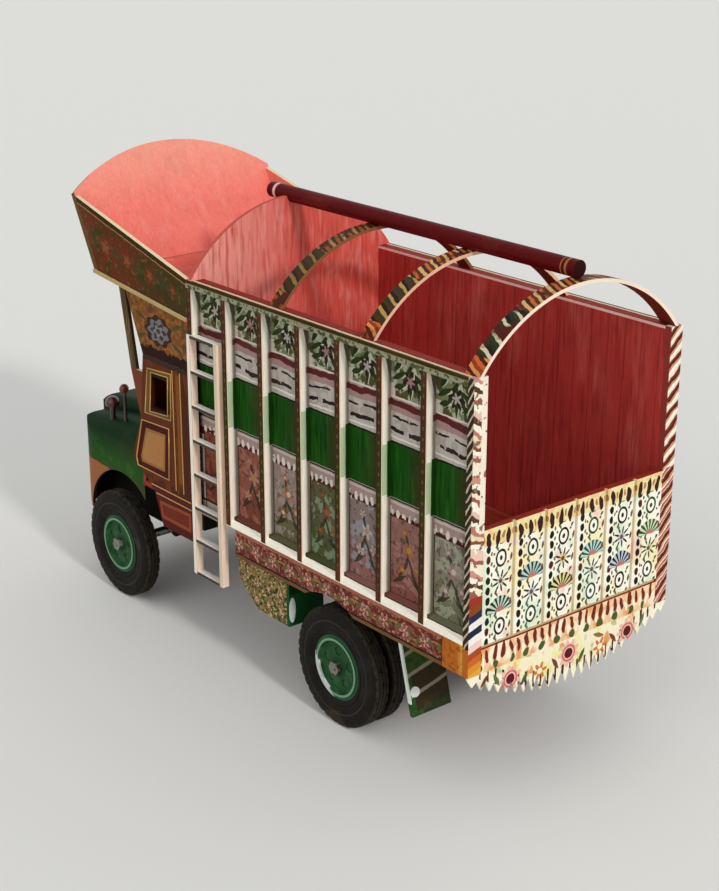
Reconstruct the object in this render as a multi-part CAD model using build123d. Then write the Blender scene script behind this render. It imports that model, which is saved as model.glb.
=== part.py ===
from build123d import *
import math
import os

# Hand-made decorated truck model, sizes in millimetres.
# +X runs to the nose, +Y to the truck's left side, +Z up, and the wheels stand on z = 0.
# Every piece is placed from the rear face of the load box (x = 0) and moved once, when it is
# saved, so that the origin ends under the middle of the whole truck.

# Load box
box_length = 341.0
box_width = 209.0
box_top = 328.5
floor_top = 130.0
floor_thick = 5.0
panel_thick = 3.5
rib_depth = 9.0
rib_width = 6.0
bay_count = 7
cap_height = 6.5
cap_lip = 0.5
sill_height = 8.0
sill_fall = 5.0
valance_thick = 5.0
valance_drop = 24.0
valance_end_gap = 18.0
valance_arch_gap = 10.0
valance_arch_rise = 4.0
rear_post_depth = 6.0
bulkhead_setback = 7.5
bulkhead_thick = 4.0
bulkhead_rise = 56.5
bulkhead_shoulder = 0.5

# Tailgate and fringe
tailgate_height = 110.5
slat_thick = 2.0
slat_count = 6
slat_gap = 3.0
tail_band = 22.0
fringe_drop = 35.0
fringe_end_drop = 6.0
fringe_strip = 23.0
fringe_end_strip = 1.5
fringe_thick = 1.6
fringe_count = 24

# Hoops and ridge pole
hoop_rear_x = 0.0
hoop_middle_x = 111.0
hoop_front_x = 220.0
hoop_width = 15.0
hoop_thick = 2.6
hoop_rise = 49.0
hoop_inset = 6.5
pole_diameter = 13.0
pole_rear = 8.0
pole_overhang = 21.0
pole_notch_gap = 0.2

# Crown over the cab; a run is a length ahead of the load box
crown_tip_run = 173.5
crown_tip_rise = 61.0
crown_arch_rise = 35.5
crown_board = 4.0
deck_rear_drop = 32.5
deck_front_run = 141.0
deck_front_rise = 13.6
deck_thick = 3.0
deck_lip = 1.5
crown_rail = 3.0
crown_rail_proud = 1.5

# Cab
cab_board = 4.0
cab_height = 120.0
cab_skirt_drop = 32.0
screen_top_run = 70.0
screen_fall = 59.5
screen_lean = 7.0
corner_run = 16.0
corner_fall = 38.5
skirt_run = 48.0
chamfer_run = 12.0
chamfer_rise = 29.5
forehead_lean = 23.5
door_window_inset = 11.0
door_window_length = 27.5
door_window_drop = 17.0
door_window_height = 28.5
screen_half_width = 62.0
screen_sill_rise = 6.5
screen_head_drop = 10.0
screen_frame = 5.0
screen_frame_thick = 3.0
glass_thick = 1.5
slat_pitch = 7.5
slat_proud = 1.5
wing_thick = 3.0
wing_strip = 9.0
wing_shelf_drop = 17.0
wing_shelf_run = 20.0
wing_head_run = 10.0

# Nose: bonnet, fenders, grille, lamps and bumper
nose_run = 213.0
nose_bottom = 70.0
sheet = 3.0
fender_inset = 10.5
fender_drop = 12.5
fender_fall = 18.0
fender_shoulder = 18.0
fender_corner = 34.0
fender_brow = 16.0
bonnet_half_width = 64.0
bonnet_rise = 10.0
bonnet_fall = 17.0
bonnet_shoulder = 9.0
bonnet_corner = 10.0
bonnet_brow = 13.0
bonnet_step = 2.0
arch_gap = 6.0
arch_rise = 15.0
arch_setback = 5.0
grille_half_width = 29.0
grille_low = 92.0
grille_height = 36.0
grille_bars = 4
grille_frame = 3.0
grille_back = 1.0
grille_proud = 2.5
headlamp_radius = 9.5
headlamp_y = 42.0
headlamp_z = 110.0
headlamp_rim = 2.0
headlamp_proud = 4.0
bumper_gap = 2.0
bumper_height = 18.0
bumper_half_width = 76.0
bumper_proud = 9.0
bumper_rail = 5.0
bumper_rail_deep = 5.0
bumper_band_deep = 2.5
bumper_bend = 16.0
bumper_return = 10.0
bumper_arm_run = 25.0
lamp_radius = 6.5
lamp_stalk = 2.5
lamp_rise = 25.0
lamp_setback = 55.0
lamp_inset = 10.0
corner_lamp_radius = 4.5
corner_lamp_depth = 4.0
corner_lamp_lens = 2.0
corner_lamp_stalk = 1.5
corner_lamp_setback = 77.0
corner_lamp_rise = 19.0

# Wheels and axles
wheel_radius = 50.0
wheel_inset = 5.5
tyre_width = 16.5
tread_drop = 4.0
bulge_drop = 13.0
tyre_tuck = 2.0
twin_gap = 1.5
bead_radius = 27.0
bead_gap = 0.1
rim_lip = 2.0
rim_dish_radius = 22.0
rim_dish_depth = 3.0
rim_inset = 1.0
spoke_count = 5
spoke_pocket = 8.0
rear_axle_x = 158.0
front_axle_setback = 76.0
axle_radius = 4.0
bore_gap = 0.08
collar_gap = 0.3
collar_radius = 8.0
collar_length = 4.0
nut_radius = 6.0
nut_length = 4.0

# Chassis
rail_y = 34.0
rail_width = 8.0
rail_height = 22.0
rail_rear = 6.0
rail_front_gap = 6.0
bearer_height = 15.0
bearer_width = 10.0
box_bearers = [12.0, 87.0, 230.0, 270.0]
nose_member_setback = 54.0
bracket_thick = 5.0
bracket_top = 44.0
bracket_eye = 9.0
flap_low = 41.0
flap_lean = 18.0
flap_width = 39.0
flap_inset = 6.0
flap_thick = 3.0

# Ladder and toolbox
ladder_low = 71.0
ladder_high = 283.0
ladder_width = 42.0
ladder_stile = 4.5
ladder_rungs = 8
ladder_tread = 2.5
toolbox_wheel_gap = 8.0
toolbox_length = 68.0
toolbox_width = 35.0
toolbox_height = 46.0
toolbox_clear = 0.5
toolbox_chamfer = 26.0
toolbox_chamfer_rise = 20.0

# Planes and lengths that follow from the sizes above
half_width = box_width / 2
panel_outer = half_width - rib_depth
panel_inner = panel_outer - panel_thick
floor_low = floor_top - floor_thick
valance_low = floor_top - valance_drop
valance_inner = half_width - valance_thick
tailgate_top = valance_low + tailgate_height
bulkhead_x = box_length - bulkhead_setback
bay = (box_length - rib_width) / bay_count
hoop_half_span = half_width - hoop_inset
pole_front = box_length + pole_overhang
deck_half_width = half_width + deck_lip
deck_rear_z = box_top - deck_rear_drop
deck_front_x = box_length + deck_front_run
deck_front_z = deck_rear_z + deck_front_rise
crown_tip_x = box_length + crown_tip_run
crown_tip_z = deck_front_z + crown_tip_rise
cab_inner = half_width - cab_board
cab_roof_z = floor_top + cab_height
cab_skirt_z = floor_top - cab_skirt_drop
screen_top_x = box_length + screen_top_run
screen_low_x = screen_top_x + screen_lean
screen_low_z = cab_roof_z - screen_fall
screen_sill = screen_low_z + screen_sill_rise
screen_head = cab_roof_z - screen_head_drop
fender_joint_x = screen_low_x + corner_run
fender_joint_z = screen_low_z - corner_fall
skirt_front_x = box_length + skirt_run
chamfer_x = skirt_front_x + chamfer_run
chamfer_z = cab_skirt_z + chamfer_rise
forehead_top_x = screen_top_x + forehead_lean
door_window_front = screen_top_x - door_window_inset
door_window_rear = door_window_front - door_window_length
door_window_high = cab_roof_z - door_window_drop
door_window_low = door_window_high - door_window_height
wing_shelf_x = screen_top_x + wing_shelf_run
wing_shelf_z = cab_roof_z - wing_shelf_drop
wing_head_x = forehead_top_x + wing_head_run
nose_front_x = box_length + nose_run
bonnet_front_x = nose_front_x + bonnet_step
fender_half_width = half_width - fender_inset
fender_top_rear = screen_low_z - fender_drop
fender_top_front = fender_top_rear - fender_fall
bonnet_top_rear = fender_top_rear + bonnet_rise
bonnet_top_front = bonnet_top_rear - bonnet_fall
grille_high = grille_low + grille_height
bumper_front_x = nose_front_x + bumper_proud
bumper_high = nose_bottom - bumper_gap
bumper_low = bumper_high - bumper_height
lamp_x = nose_front_x - lamp_setback
lamp_y = fender_half_width - lamp_inset
lamp_top_z = fender_top_front + lamp_rise
corner_lamp_x = nose_front_x - corner_lamp_setback
corner_lamp_z = fender_top_rear + corner_lamp_rise
wheel_outer_y = half_width - wheel_inset
tyre_inner_y = wheel_outer_y - tyre_width
twin_inner_y = tyre_inner_y - twin_gap - tyre_width
hub_outer_y = wheel_outer_y - rim_dish_depth
front_axle_x = nose_front_x - front_axle_setback
bearer_low = floor_low - bearer_height
rail_low = bearer_low - rail_height
rail_front = nose_front_x - rail_front_gap
nose_member_x = nose_front_x - nose_member_setback
ladder_rear = box_length - ladder_width
valance_front_left = ladder_rear - valance_end_gap
toolbox_rear = rear_axle_x + wheel_radius + toolbox_wheel_gap
toolbox_front = toolbox_rear + toolbox_length
toolbox_low = bearer_low - toolbox_height
toolbox_outer = valance_inner - toolbox_clear
flap_outer = valance_inner - flap_inset - toolbox_clear
mid_x = bumper_front_x / 2


# Builders shared by the pieces
def slab(x, y, z):
    """A straight board between two limits on each axis."""
    board = Box(x[1] - x[0], y[1] - y[0], z[1] - z[0])
    return Pos((x[0] + x[1]) / 2, (y[0] + y[1]) / 2, (z[0] + z[1]) / 2) * board


def rod(radius, y):
    """A round bar along Y between two limits."""
    return Pos(0, (y[0] + y[1]) / 2, 0) * Rot(90, 0, 0) * Cylinder(radius, y[1] - y[0])


def outline(points):
    return make_face(Polyline(*points, close=True))


def side_board(points, y):
    """A board cut to an (x, z) outline, between two y limits."""
    plane = Plane.XZ.offset(-y[1])
    return extrude(plane * outline(points), amount=y[1] - y[0])


def cross_board(points, x):
    """A board cut to a (y, z) outline, between two x limits."""
    return extrude(Plane.YZ.offset(x[0]) * outline(points), amount=x[1] - x[0])


def leaning_plane(foot, head):
    """The plane of a board whose front face runs from foot to head, both (x, z)."""
    dx, dz = head[0] - foot[0], head[1] - foot[1]
    return Plane(origin=(foot[0], 0, foot[1]), x_dir=(0, 1, 0), z_dir=(dz, 0, -dx))


def arch_face(half_span, spring, rise, foot):
    """A face with a straight foot, upright sides and an arched top."""
    low_left, low_right = (-half_span, foot), (half_span, foot)
    high_left, high_right = (-half_span, spring), (half_span, spring)
    sides = Polyline(high_right, low_right, low_left, high_left)
    top = ThreePointArc(high_left, (0, spring + rise), high_right)
    return make_face(Curve() + [sides, top])


def meeting(p, q, r, s):
    """Where the line through p and q crosses the steep line through r and s."""
    slope = (q[1] - p[1]) / (q[0] - p[0])
    lean = (s[0] - r[0]) / (s[1] - r[1])
    x = (r[0] + (p[1] - slope * p[0] - r[1]) * lean) / (1 - slope * lean)
    return (x, p[1] + slope * (x - p[0]))


def save(name, shape):
    os.makedirs("parts", exist_ok=True)
    export_step(Pos(-mid_x, 0, 0) * shape, f"parts/{name}.step")


def save_pair(name, left):
    """Save a left-hand piece and its mirror image."""
    save(f"{name}_left", left)
    save(f"{name}_right", mirror(left, about=Plane.XZ))


# Load box
def wall():
    """Side panel with a foot board at floor level and the cap board over the bays."""
    x = (rear_post_depth, box_length)
    panel = slab(x, (panel_inner, panel_outer), (floor_low, box_top))
    foot = slab(x, (panel_inner, valance_inner), (floor_low, floor_top))
    cap = slab(x, (panel_inner, half_width + cap_lip), (box_top - cap_height, box_top))
    return panel + foot + cap


def side_frame(sill_bays, front_post_foot):
    """Ribs between the bays, joined at the bottom by the sloping picture sills."""
    y = (panel_outer, half_width)
    top = box_top - cap_height
    pieces = []
    for k in range(1, bay_count + 1):
        foot = front_post_foot if k == bay_count else floor_top
        pieces.append(slab((k * bay, k * bay + rib_width), y, (foot, top)))
    sill = [
        (panel_outer, floor_top),
        (half_width, floor_top),
        (half_width, floor_top + sill_height - sill_fall),
        (panel_outer, floor_top + sill_height),
    ]
    for k in range(sill_bays):
        pieces.append(cross_board(sill, (k * bay + rib_width, (k + 1) * bay)))
    return Part() + pieces


def valance(front_x):
    """Board under the side frame, cut away over the rear wheel."""
    y = (valance_inner, half_width)
    board = slab((rear_post_depth, front_x), y, (valance_low, floor_top))
    arch = rod(wheel_radius + valance_arch_gap, (0, half_width + cap_lip))
    return board - Pos(rear_axle_x, 0, wheel_radius + valance_arch_rise) * arch


def bulkhead():
    """Arched front board of the load box, notched for the ridge pole."""
    x = (bulkhead_x, bulkhead_x + bulkhead_thick)
    low = slab(x, (-panel_inner, panel_inner), (floor_low, box_top))
    spring = box_top + bulkhead_shoulder
    head = arch_face(half_width, spring, bulkhead_rise - bulkhead_shoulder, box_top)
    head = extrude(Plane.YZ.offset(bulkhead_x) * head, amount=bulkhead_thick)
    return low + head - pole(pole_diameter / 2 + pole_notch_gap)


def rear_post():
    return slab((0, rear_post_depth), (panel_inner, half_width), (valance_low, box_top))


def tailgate():
    """Half-height tail board with upright slats over a plain band."""
    y = (-panel_inner, panel_inner)
    board = slab((slat_thick, rear_post_depth), y, (valance_low, tailgate_top))
    band = slab((0, slat_thick), y, (valance_low, valance_low + tail_band - slat_gap))
    pitch = (2 * panel_inner + slat_gap) / slat_count
    slats = []
    for k in range(slat_count):
        start = -panel_inner + k * pitch
        z = (valance_low + tail_band, tailgate_top)
        slats.append(slab((0, slat_thick), (start, start + pitch - slat_gap), z))
    return Part() + [board, band] + slats


def hem(y, middle, end):
    """Height of a bowed line below the tail board, deepest half-way across."""
    return valance_low - end - (middle - end) * (1 - (y / half_width) ** 2)


def fringe():
    """Apron with a bowed hem of pointed tongues, below the tail board and the posts."""
    pitch = 2 * half_width / fringe_count
    points = [(-half_width, valance_low)]
    for k in range(fringe_count):
        start = -half_width + k * pitch
        points.append((start, hem(start, fringe_strip, fringe_end_strip)))
        tip = start + pitch / 2
        points.append((tip, hem(tip, fringe_drop, fringe_end_drop)))
    points.append((half_width, hem(half_width, fringe_strip, fringe_end_strip)))
    points.append((half_width, valance_low))
    return cross_board(points, (0, fringe_thick))


# Hoops and ridge pole
hoop_radius = (hoop_half_span**2 + hoop_rise**2) / (2 * hoop_rise)
hoop_centre_z = box_top + hoop_rise - hoop_radius
pole_z = hoop_centre_z + hoop_radius + hoop_thick / 2 + pole_diameter / 2


def hoop(x):
    """Flat band bent to an arc, standing on both wall caps."""
    ring = Circle(hoop_radius + hoop_thick / 2) - Circle(hoop_radius - hoop_thick / 2)
    band = extrude(Plane.YZ.offset(x) * (Pos(0, hoop_centre_z) * ring), amount=hoop_width)
    reach = 2 * hoop_radius
    return band & slab((x, x + hoop_width), (-reach, reach), (box_top, box_top + reach))


def pole(radius):
    middle = Pos((pole_rear + pole_front) / 2, 0, pole_z)
    return middle * Rot(0, 90, 0) * Cylinder(radius, pole_front - pole_rear)


# Crown over the cab
deck_slope = (deck_front_z - deck_rear_z) / (deck_front_x - box_length)
crown_foot = (deck_front_x, deck_front_z)
crown_head = (crown_tip_x, crown_tip_z)
crown_lean = leaning_plane(crown_foot, crown_head)
crown_height = math.dist(crown_foot, crown_head)
crown_back = crown_board * crown_height / (crown_tip_z - deck_front_z)
back_foot = (deck_front_x - crown_back, deck_front_z)
back_head = (crown_tip_x - crown_back, crown_tip_z)


def deck_point(x, drop=0.0):
    """Point on the deck's slope at x, a drop below its top."""
    return (x, deck_rear_z + (x - box_length) * deck_slope - drop)


def crown_deck():
    """Sloping floor of the crown, whose edge shows as a ledge all round."""
    front = deck_front_x + crown_rail_proud
    under = [deck_point(box_length, deck_thick), deck_point(front, deck_thick)]
    top = [deck_point(front), deck_point(box_length)]
    return side_board(under + top, (-deck_half_width, deck_half_width))


def crown_side():
    """Side board between the deck and the rising top edge."""
    low_rear, top_rear = deck_point(box_length), (box_length, box_top)
    points = [
        low_rear,
        meeting(low_rear, crown_foot, back_foot, back_head),
        meeting(top_rear, crown_head, back_foot, back_head),
        top_rear,
    ]
    return side_board(points, (half_width - crown_board, half_width))


def crown_front():
    """Leaning front board with an arched head, a rim and a rail between the tips."""
    face = arch_face(half_width, crown_height, crown_arch_rise, -crown_board)
    inset = half_width - crown_rail
    field = arch_face(inset, crown_height, crown_arch_rise - crown_rail, crown_rail)
    bar = Pos(0, crown_height - crown_rail / 2) * Rectangle(2 * half_width, crown_rail)
    board = extrude(crown_lean * face, amount=-crown_board)
    rails = extrude(crown_lean * (face - field + bar), amount=crown_rail_proud)
    low = slab((0, 2 * crown_tip_x), (-box_width, box_width), (0, deck_front_z))
    return board + rails - low - crown_deck()


# Cab
pillar_lean = (screen_low_x - screen_top_x) / (cab_roof_z - screen_low_z)
cab_board_back = cab_board * math.hypot(1, pillar_lean)
screen_plane = leaning_plane((screen_low_x, screen_low_z), (screen_top_x, cab_roof_z))


def screen_x(z):
    """Front of the cab's front wall at a height."""
    return screen_low_x - (z - screen_low_z) * pillar_lean


def up_screen(z):
    """Distance up the slope of the cab's front wall at a height."""
    return (z - screen_low_z) * math.hypot(1, pillar_lean)


def forehead_side():
    """Side of the box over the cab, with a leaning front edge."""
    points = [
        (box_length, cab_roof_z),
        (screen_top_x, cab_roof_z),
        deck_point(forehead_top_x, deck_thick),
        deck_point(box_length, deck_thick),
    ]
    return side_board(points, (cab_inner, half_width))


def forehead_front():
    """Leaning board between the forehead sides, over the windscreen."""
    foot = (screen_top_x, cab_roof_z)
    head = deck_point(forehead_top_x, deck_thick)
    back = cab_board * math.dist(foot, head) / (head[1] - foot[1])
    rear = deck_point(box_length, deck_thick)
    points = [
        foot,
        head,
        meeting(rear, head, (foot[0] - back, foot[1]), (head[0] - back, head[1])),
        (foot[0] - back, foot[1]),
    ]
    return side_board(points, (-cab_inner, cab_inner))


def cab_side():
    """Cab side with the door window cut through."""
    points = [
        (box_length, cab_skirt_z),
        (skirt_front_x, cab_skirt_z),
        (chamfer_x, chamfer_z),
        (fender_joint_x, fender_joint_z),
        (screen_low_x, screen_low_z),
        (screen_top_x, cab_roof_z),
        (box_length, cab_roof_z),
    ]
    window_x = (door_window_rear, door_window_front)
    window = slab(window_x, (0, 2 * half_width), (door_window_low, door_window_high))
    return side_board(points, (cab_inner, half_width)) - window


def cab_back():
    x = (box_length, box_length + cab_board)
    return slab(x, (-cab_inner, cab_inner), (floor_top, cab_roof_z - cab_board))


def cab_roof():
    x = (box_length, screen_top_x - cab_board_back)
    return slab(x, (-cab_inner, cab_inner), (cab_roof_z - cab_board, cab_roof_z))


def cab_floor():
    x = (box_length, screen_x(floor_top))
    return slab(x, (-cab_inner, cab_inner), (floor_low, floor_top))


def screen_opening(margin):
    low = up_screen(screen_sill) - margin
    high = up_screen(screen_head) + margin
    return Pos(0, (low + high) / 2) * Rectangle(2 * (screen_half_width + margin), high - low)


def cab_front():
    """Front wall of the cab with the windscreen cut out and upright slats at both sides."""
    points = [
        (screen_x(floor_top), floor_top),
        (screen_x(cab_roof_z), cab_roof_z),
        (screen_x(cab_roof_z) - cab_board_back, cab_roof_z),
        (screen_x(floor_top) - cab_board_back, floor_top),
    ]
    board = side_board(points, (-cab_inner, cab_inner))
    board = board - extrude(screen_plane * screen_opening(0), amount=-2 * cab_board)
    first = screen_half_width + screen_frame + slat_pitch / 2
    count = round((cab_inner - first) / slat_pitch)
    run = up_screen(cab_roof_z - slat_proud)
    slats = []
    for side in (-1, 1):
        for k in range(count):
            slat = Pos(side * (first + k * slat_pitch), run / 2) * Rectangle(slat_pitch / 2, run)
            slats.append(extrude(screen_plane * slat, amount=slat_proud))
    return Part() + [board] + slats


def windscreen_frame():
    face = screen_opening(screen_frame) - screen_opening(0)
    return extrude(screen_plane * face, amount=screen_frame_thick)


def windscreen():
    return extrude(screen_plane * screen_opening(0), amount=-glass_thick)


def wing():
    """Strip from the crown's ledge to the cab corner, wider below its shelf."""
    points = [
        (screen_low_x, screen_low_z),
        (wing_shelf_x, wing_shelf_z),
        deck_point(wing_head_x, deck_thick),
        deck_point(wing_head_x - wing_strip, deck_thick),
        (wing_shelf_x - wing_strip, wing_shelf_z),
        (screen_x(wing_shelf_z), wing_shelf_z),
    ]
    return side_board(points, (half_width - wing_thick, half_width))


# Nose
def soft_block(half, front, top_rear, top_front, shoulder, corner, brow, rear_edge):
    """Block rounded in side view, plan and section; rear_edge lists (x, z) points downwards."""
    rear, low = screen_x(top_rear), rear_edge[-1][1]
    points = [(rear, top_rear)] + rear_edge
    points += [(front, low), (front, top_front - brow), (front - brow, top_front)]
    profile = outline(points)
    brow_corners = [v for v in profile.vertices() if v.X > front - brow - 1 and v.Y > low + 1]
    profile = fillet(brow_corners, brow)
    side = extrude(Plane.XZ.offset(-half_width) * profile, amount=2 * half_width)
    plan = Pos((rear + front) / 2, 0) * Rectangle(front - rear, 2 * half)
    plan = fillet(plan.vertices().sort_by(Axis.X)[-2:], corner)
    above = extrude(Plane.XY.offset(low) * plan, amount=top_rear - low)
    depth = 2 * (top_rear - low)
    section = Pos(0, top_rear - depth / 2) * Rectangle(2 * half, depth)
    section = fillet(section.vertices().sort_by(Axis.Y)[-2:], shoulder)
    fall = Vector(front - brow - rear, 0, top_front - top_rear)
    ahead = extrude(Plane.YZ.offset(rear) * section, amount=2 * fall.length, dir=fall)
    return ahead & side & above


def fender_block(margin, low):
    """Full-width block of the fenders, or its inside at a margin."""
    return soft_block(
        fender_half_width - margin,
        nose_front_x - margin,
        fender_top_rear - margin,
        fender_top_front - margin,
        fender_shoulder - margin,
        fender_corner - margin,
        fender_brow,
        [
            (screen_x(fender_joint_z), fender_joint_z),
            (fender_joint_x, fender_joint_z),
            (fender_joint_x, low),
        ],
    )


def bonnet_block(margin, low):
    """Raised middle block of the bonnet, or its inside at a margin."""
    return soft_block(
        bonnet_half_width - margin,
        bonnet_front_x - margin,
        bonnet_top_rear - margin,
        bonnet_top_front - margin,
        bonnet_shoulder - margin,
        bonnet_corner - margin,
        bonnet_brow,
        [(screen_x(floor_top), floor_top), (screen_x(floor_top), low)],
    )


def bonnet():
    """Sheet shell of the bonnet and nose, open below and behind."""
    return bonnet_block(0, nose_bottom) - bonnet_block(sheet, nose_bottom - sheet)


def fender():
    """Left fender shell beside the bonnet, open below, with the wheel arch cut out."""
    shell = fender_block(0, nose_bottom) - fender_block(sheet, nose_bottom - sheet)
    arch = rod(wheel_radius + arch_gap, (bonnet_half_width, half_width))
    arch = Pos(front_axle_x - arch_setback, 0, wheel_radius + arch_rise) * arch
    reach = 2 * nose_front_x
    outside = slab((0, reach), (bonnet_half_width - bonnet_corner, half_width), (0, reach))
    return (shell & outside) - bonnet_block(0, nose_bottom) - arch


def grille():
    """Frame with level bars and a thin back plate on the nose."""
    y = (-grille_half_width, grille_half_width)
    x = (bonnet_front_x, bonnet_front_x + grille_proud)
    hole_y = (y[0] + grille_frame, y[1] - grille_frame)
    hole_z = (grille_low + grille_frame, grille_high - grille_frame)
    frame = slab(x, y, (grille_low, grille_high)) - slab(x, hole_y, hole_z)
    pieces = [frame, slab((x[0], x[0] + grille_back), hole_y, hole_z)]
    pitch = (hole_z[1] - hole_z[0]) / grille_bars
    for k in range(grille_bars):
        middle = hole_z[0] + (k + 0.5) * pitch
        bar = [(x[0], middle - pitch / 3), (x[1], middle), (x[0], middle + pitch / 3)]
        pieces.append(side_board(bar, hole_y))
    return Part() + pieces


def headlamps():
    """Two round lamps with a raised rim and a domed lens."""
    rim = headlamp_radius - headlamp_rim
    profile = [
        (0, 0),
        (headlamp_radius, 0),
        (headlamp_radius, headlamp_proud / 2),
        (rim, headlamp_proud / 2 + headlamp_rim / 2),
        (0, headlamp_proud),
    ]
    lamp = revolve(outline(profile), axis=Axis.Y)
    lamp = Rot(0, 0, -90) * lamp
    seat = Pos(bonnet_front_x, 0, headlamp_z)
    return Part() + [seat * Pos(0, side * headlamp_y, 0) * lamp for side in (-1, 1)]


def bent_strip(inset, depth, z):
    """Upright strip with its ends bent back, an inset behind the bumper's front."""
    front, rear = bumper_front_x, bumper_front_x - bumper_bend - bumper_return
    faces = []
    for margin in (inset, inset + depth):
        half, nose = bumper_half_width - margin, front - margin
        plan = Pos((rear + nose) / 2, 0) * Rectangle(nose - rear, 2 * half)
        faces.append(fillet(plan.vertices().sort_by(Axis.X)[-2:], bumper_bend - margin))
    return extrude(Plane.XY.offset(z[0]) * (faces[0] - faces[1]), amount=z[1] - z[0])


def bumper():
    """Two rails with a thinner band between them, carried on two arms from the chassis."""
    inset = (bumper_rail_deep - bumper_band_deep) / 2
    low_rail = (bumper_low, bumper_low + bumper_rail)
    high_rail = (bumper_high - bumper_rail, bumper_high)
    pieces = [bent_strip(0, bumper_rail_deep, low_rail)]
    pieces.append(bent_strip(0, bumper_rail_deep, high_rail))
    pieces.append(bent_strip(inset, bumper_band_deep, (low_rail[1], high_rail[0])))
    back = bumper_front_x - inset - bumper_band_deep
    foot = back - bumper_arm_run
    arm = [
        (foot - bumper_arm_run, rail_low),
        (foot, rail_low),
        (back, high_rail[0]),
        (back, low_rail[0]),
        (back - 2 * bumper_rail, low_rail[0]),
    ]
    for side in (-1, 1):
        middle = side * rail_y
        pieces.append(side_board(arm, (middle - rail_width / 2, middle + rail_width / 2)))
    return Part() + pieces


def fender_lamps():
    """Two domed lamps on short stalks that stand on the fender tops."""
    dome_z = lamp_top_z - lamp_radius
    stalk_height = dome_z - fender_top_front
    stalk = Pos(0, 0, fender_top_front + stalk_height / 2) * Cylinder(lamp_stalk, stalk_height)
    dome = Pos(0, 0, dome_z) * Sphere(lamp_radius)
    base = slab((-lamp_radius, lamp_radius), (-lamp_radius, lamp_radius), (0, dome_z - lamp_stalk))
    lamp = stalk + (dome - base)
    lamps = Part() + [Pos(lamp_x, side * lamp_y, 0) * lamp for side in (-1, 1)]
    return lamps - fender_block(0, nose_bottom)


def corner_lamps():
    """Two round lamps that look forward, on stalks at the back of the fenders."""
    stalk_low = fender_top_front - fender_shoulder
    stalk_height = corner_lamp_z - stalk_low
    stalk = Cylinder(corner_lamp_stalk, stalk_height)
    stalk = Pos(0, 0, stalk_low + stalk_height / 2) * stalk
    half = corner_lamp_depth / 2
    profile = [
        (-half, 0),
        (-half, corner_lamp_radius - half),
        (0, corner_lamp_radius),
        (half, corner_lamp_radius),
        (half, corner_lamp_radius - corner_lamp_lens / 2),
        (half + corner_lamp_lens, corner_lamp_radius / 2),
        (half + corner_lamp_lens, 0),
    ]
    head = revolve(Plane.XY * outline(profile), axis=Axis.X)
    lamp = stalk + Pos(0, 0, corner_lamp_z) * head
    lamps = Part() + [Pos(corner_lamp_x, side * lamp_y, 0) * lamp for side in (-1, 1)]
    return lamps - fender_block(0, nose_bottom)


# Wheels and axles
def tyre(outer_y):
    """Tyre with tucked sides and square shoulders, its outer side at a given y."""
    half = tyre_width / 2
    side = [
        (bead_radius + bead_gap, half - tyre_tuck),
        (wheel_radius - bulge_drop, half),
        (wheel_radius - tread_drop, half - tyre_tuck / 4),
        (wheel_radius, half - tyre_tuck),
    ]
    points = [(y, r) for r, y in side] + [(-y, r) for r, y in reversed(side)]
    ring = revolve(Plane.YZ * outline(points), axis=Axis.Y)
    return Pos(0, outer_y - half, 0) * ring


def rim(inner_y):
    """Dished disc wheel on a drum, from the outer lip in to a given y, bored for the axle."""
    lip = wheel_outer_y - rim_inset
    dish = lip - rim_dish_depth
    points = [
        (inner_y, axle_radius + bore_gap),
        (inner_y, bead_radius),
        (lip - rim_inset, bead_radius),
        (lip - rim_inset, bead_radius - rim_lip),
        (lip, bead_radius - rim_lip),
        (lip, rim_dish_radius),
        (dish, rim_dish_radius - rim_inset),
        (dish, nut_radius + rim_inset),
        (dish + rim_inset, nut_radius),
        (dish + rim_inset, axle_radius + bore_gap),
    ]
    disc = revolve(Plane.YZ * outline(points), axis=Axis.Y)
    pocket_y = (dish - rim_inset, lip)
    reach = (rim_dish_radius + nut_radius) / 2
    for k in range(spoke_count):
        pocket = Pos(0, 0, reach) * rod(spoke_pocket / 2, pocket_y)
        disc -= Rot(0, k * 360 / spoke_count, 0) * pocket
    return disc


def save_wheel(place, axle_x, tyre_sides, inner_y):
    """Save the tyres and the rim of a wheel and of its mirror image."""
    axle_line = Pos(axle_x, 0, wheel_radius)
    save_pair(f"tyre_{place}", axle_line * (Part() + [tyre(y) for y in tyre_sides]))
    save_pair(f"rim_{place}", axle_line * rim(inner_y))


def axle(x, inner_y):
    """Axle bar with a collar inside each wheel and a nut outside it."""
    end = hub_outer_y + collar_gap + nut_length
    pieces = [rod(axle_radius, (-end, end))]
    collar_end = inner_y - collar_gap
    for side in (-1, 1):
        collar_y = sorted((side * (collar_end - collar_length), side * collar_end))
        nut_y = sorted((side * (end - nut_length), side * end))
        pieces.append(rod(collar_radius, collar_y))
        nut = RegularPolygon(nut_radius, 6)
        pieces.append(extrude(Plane.XZ.offset(-nut_y[1]) * nut, amount=nut_length))
    return Pos(x, 0, wheel_radius) * (Part() + pieces)


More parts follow.
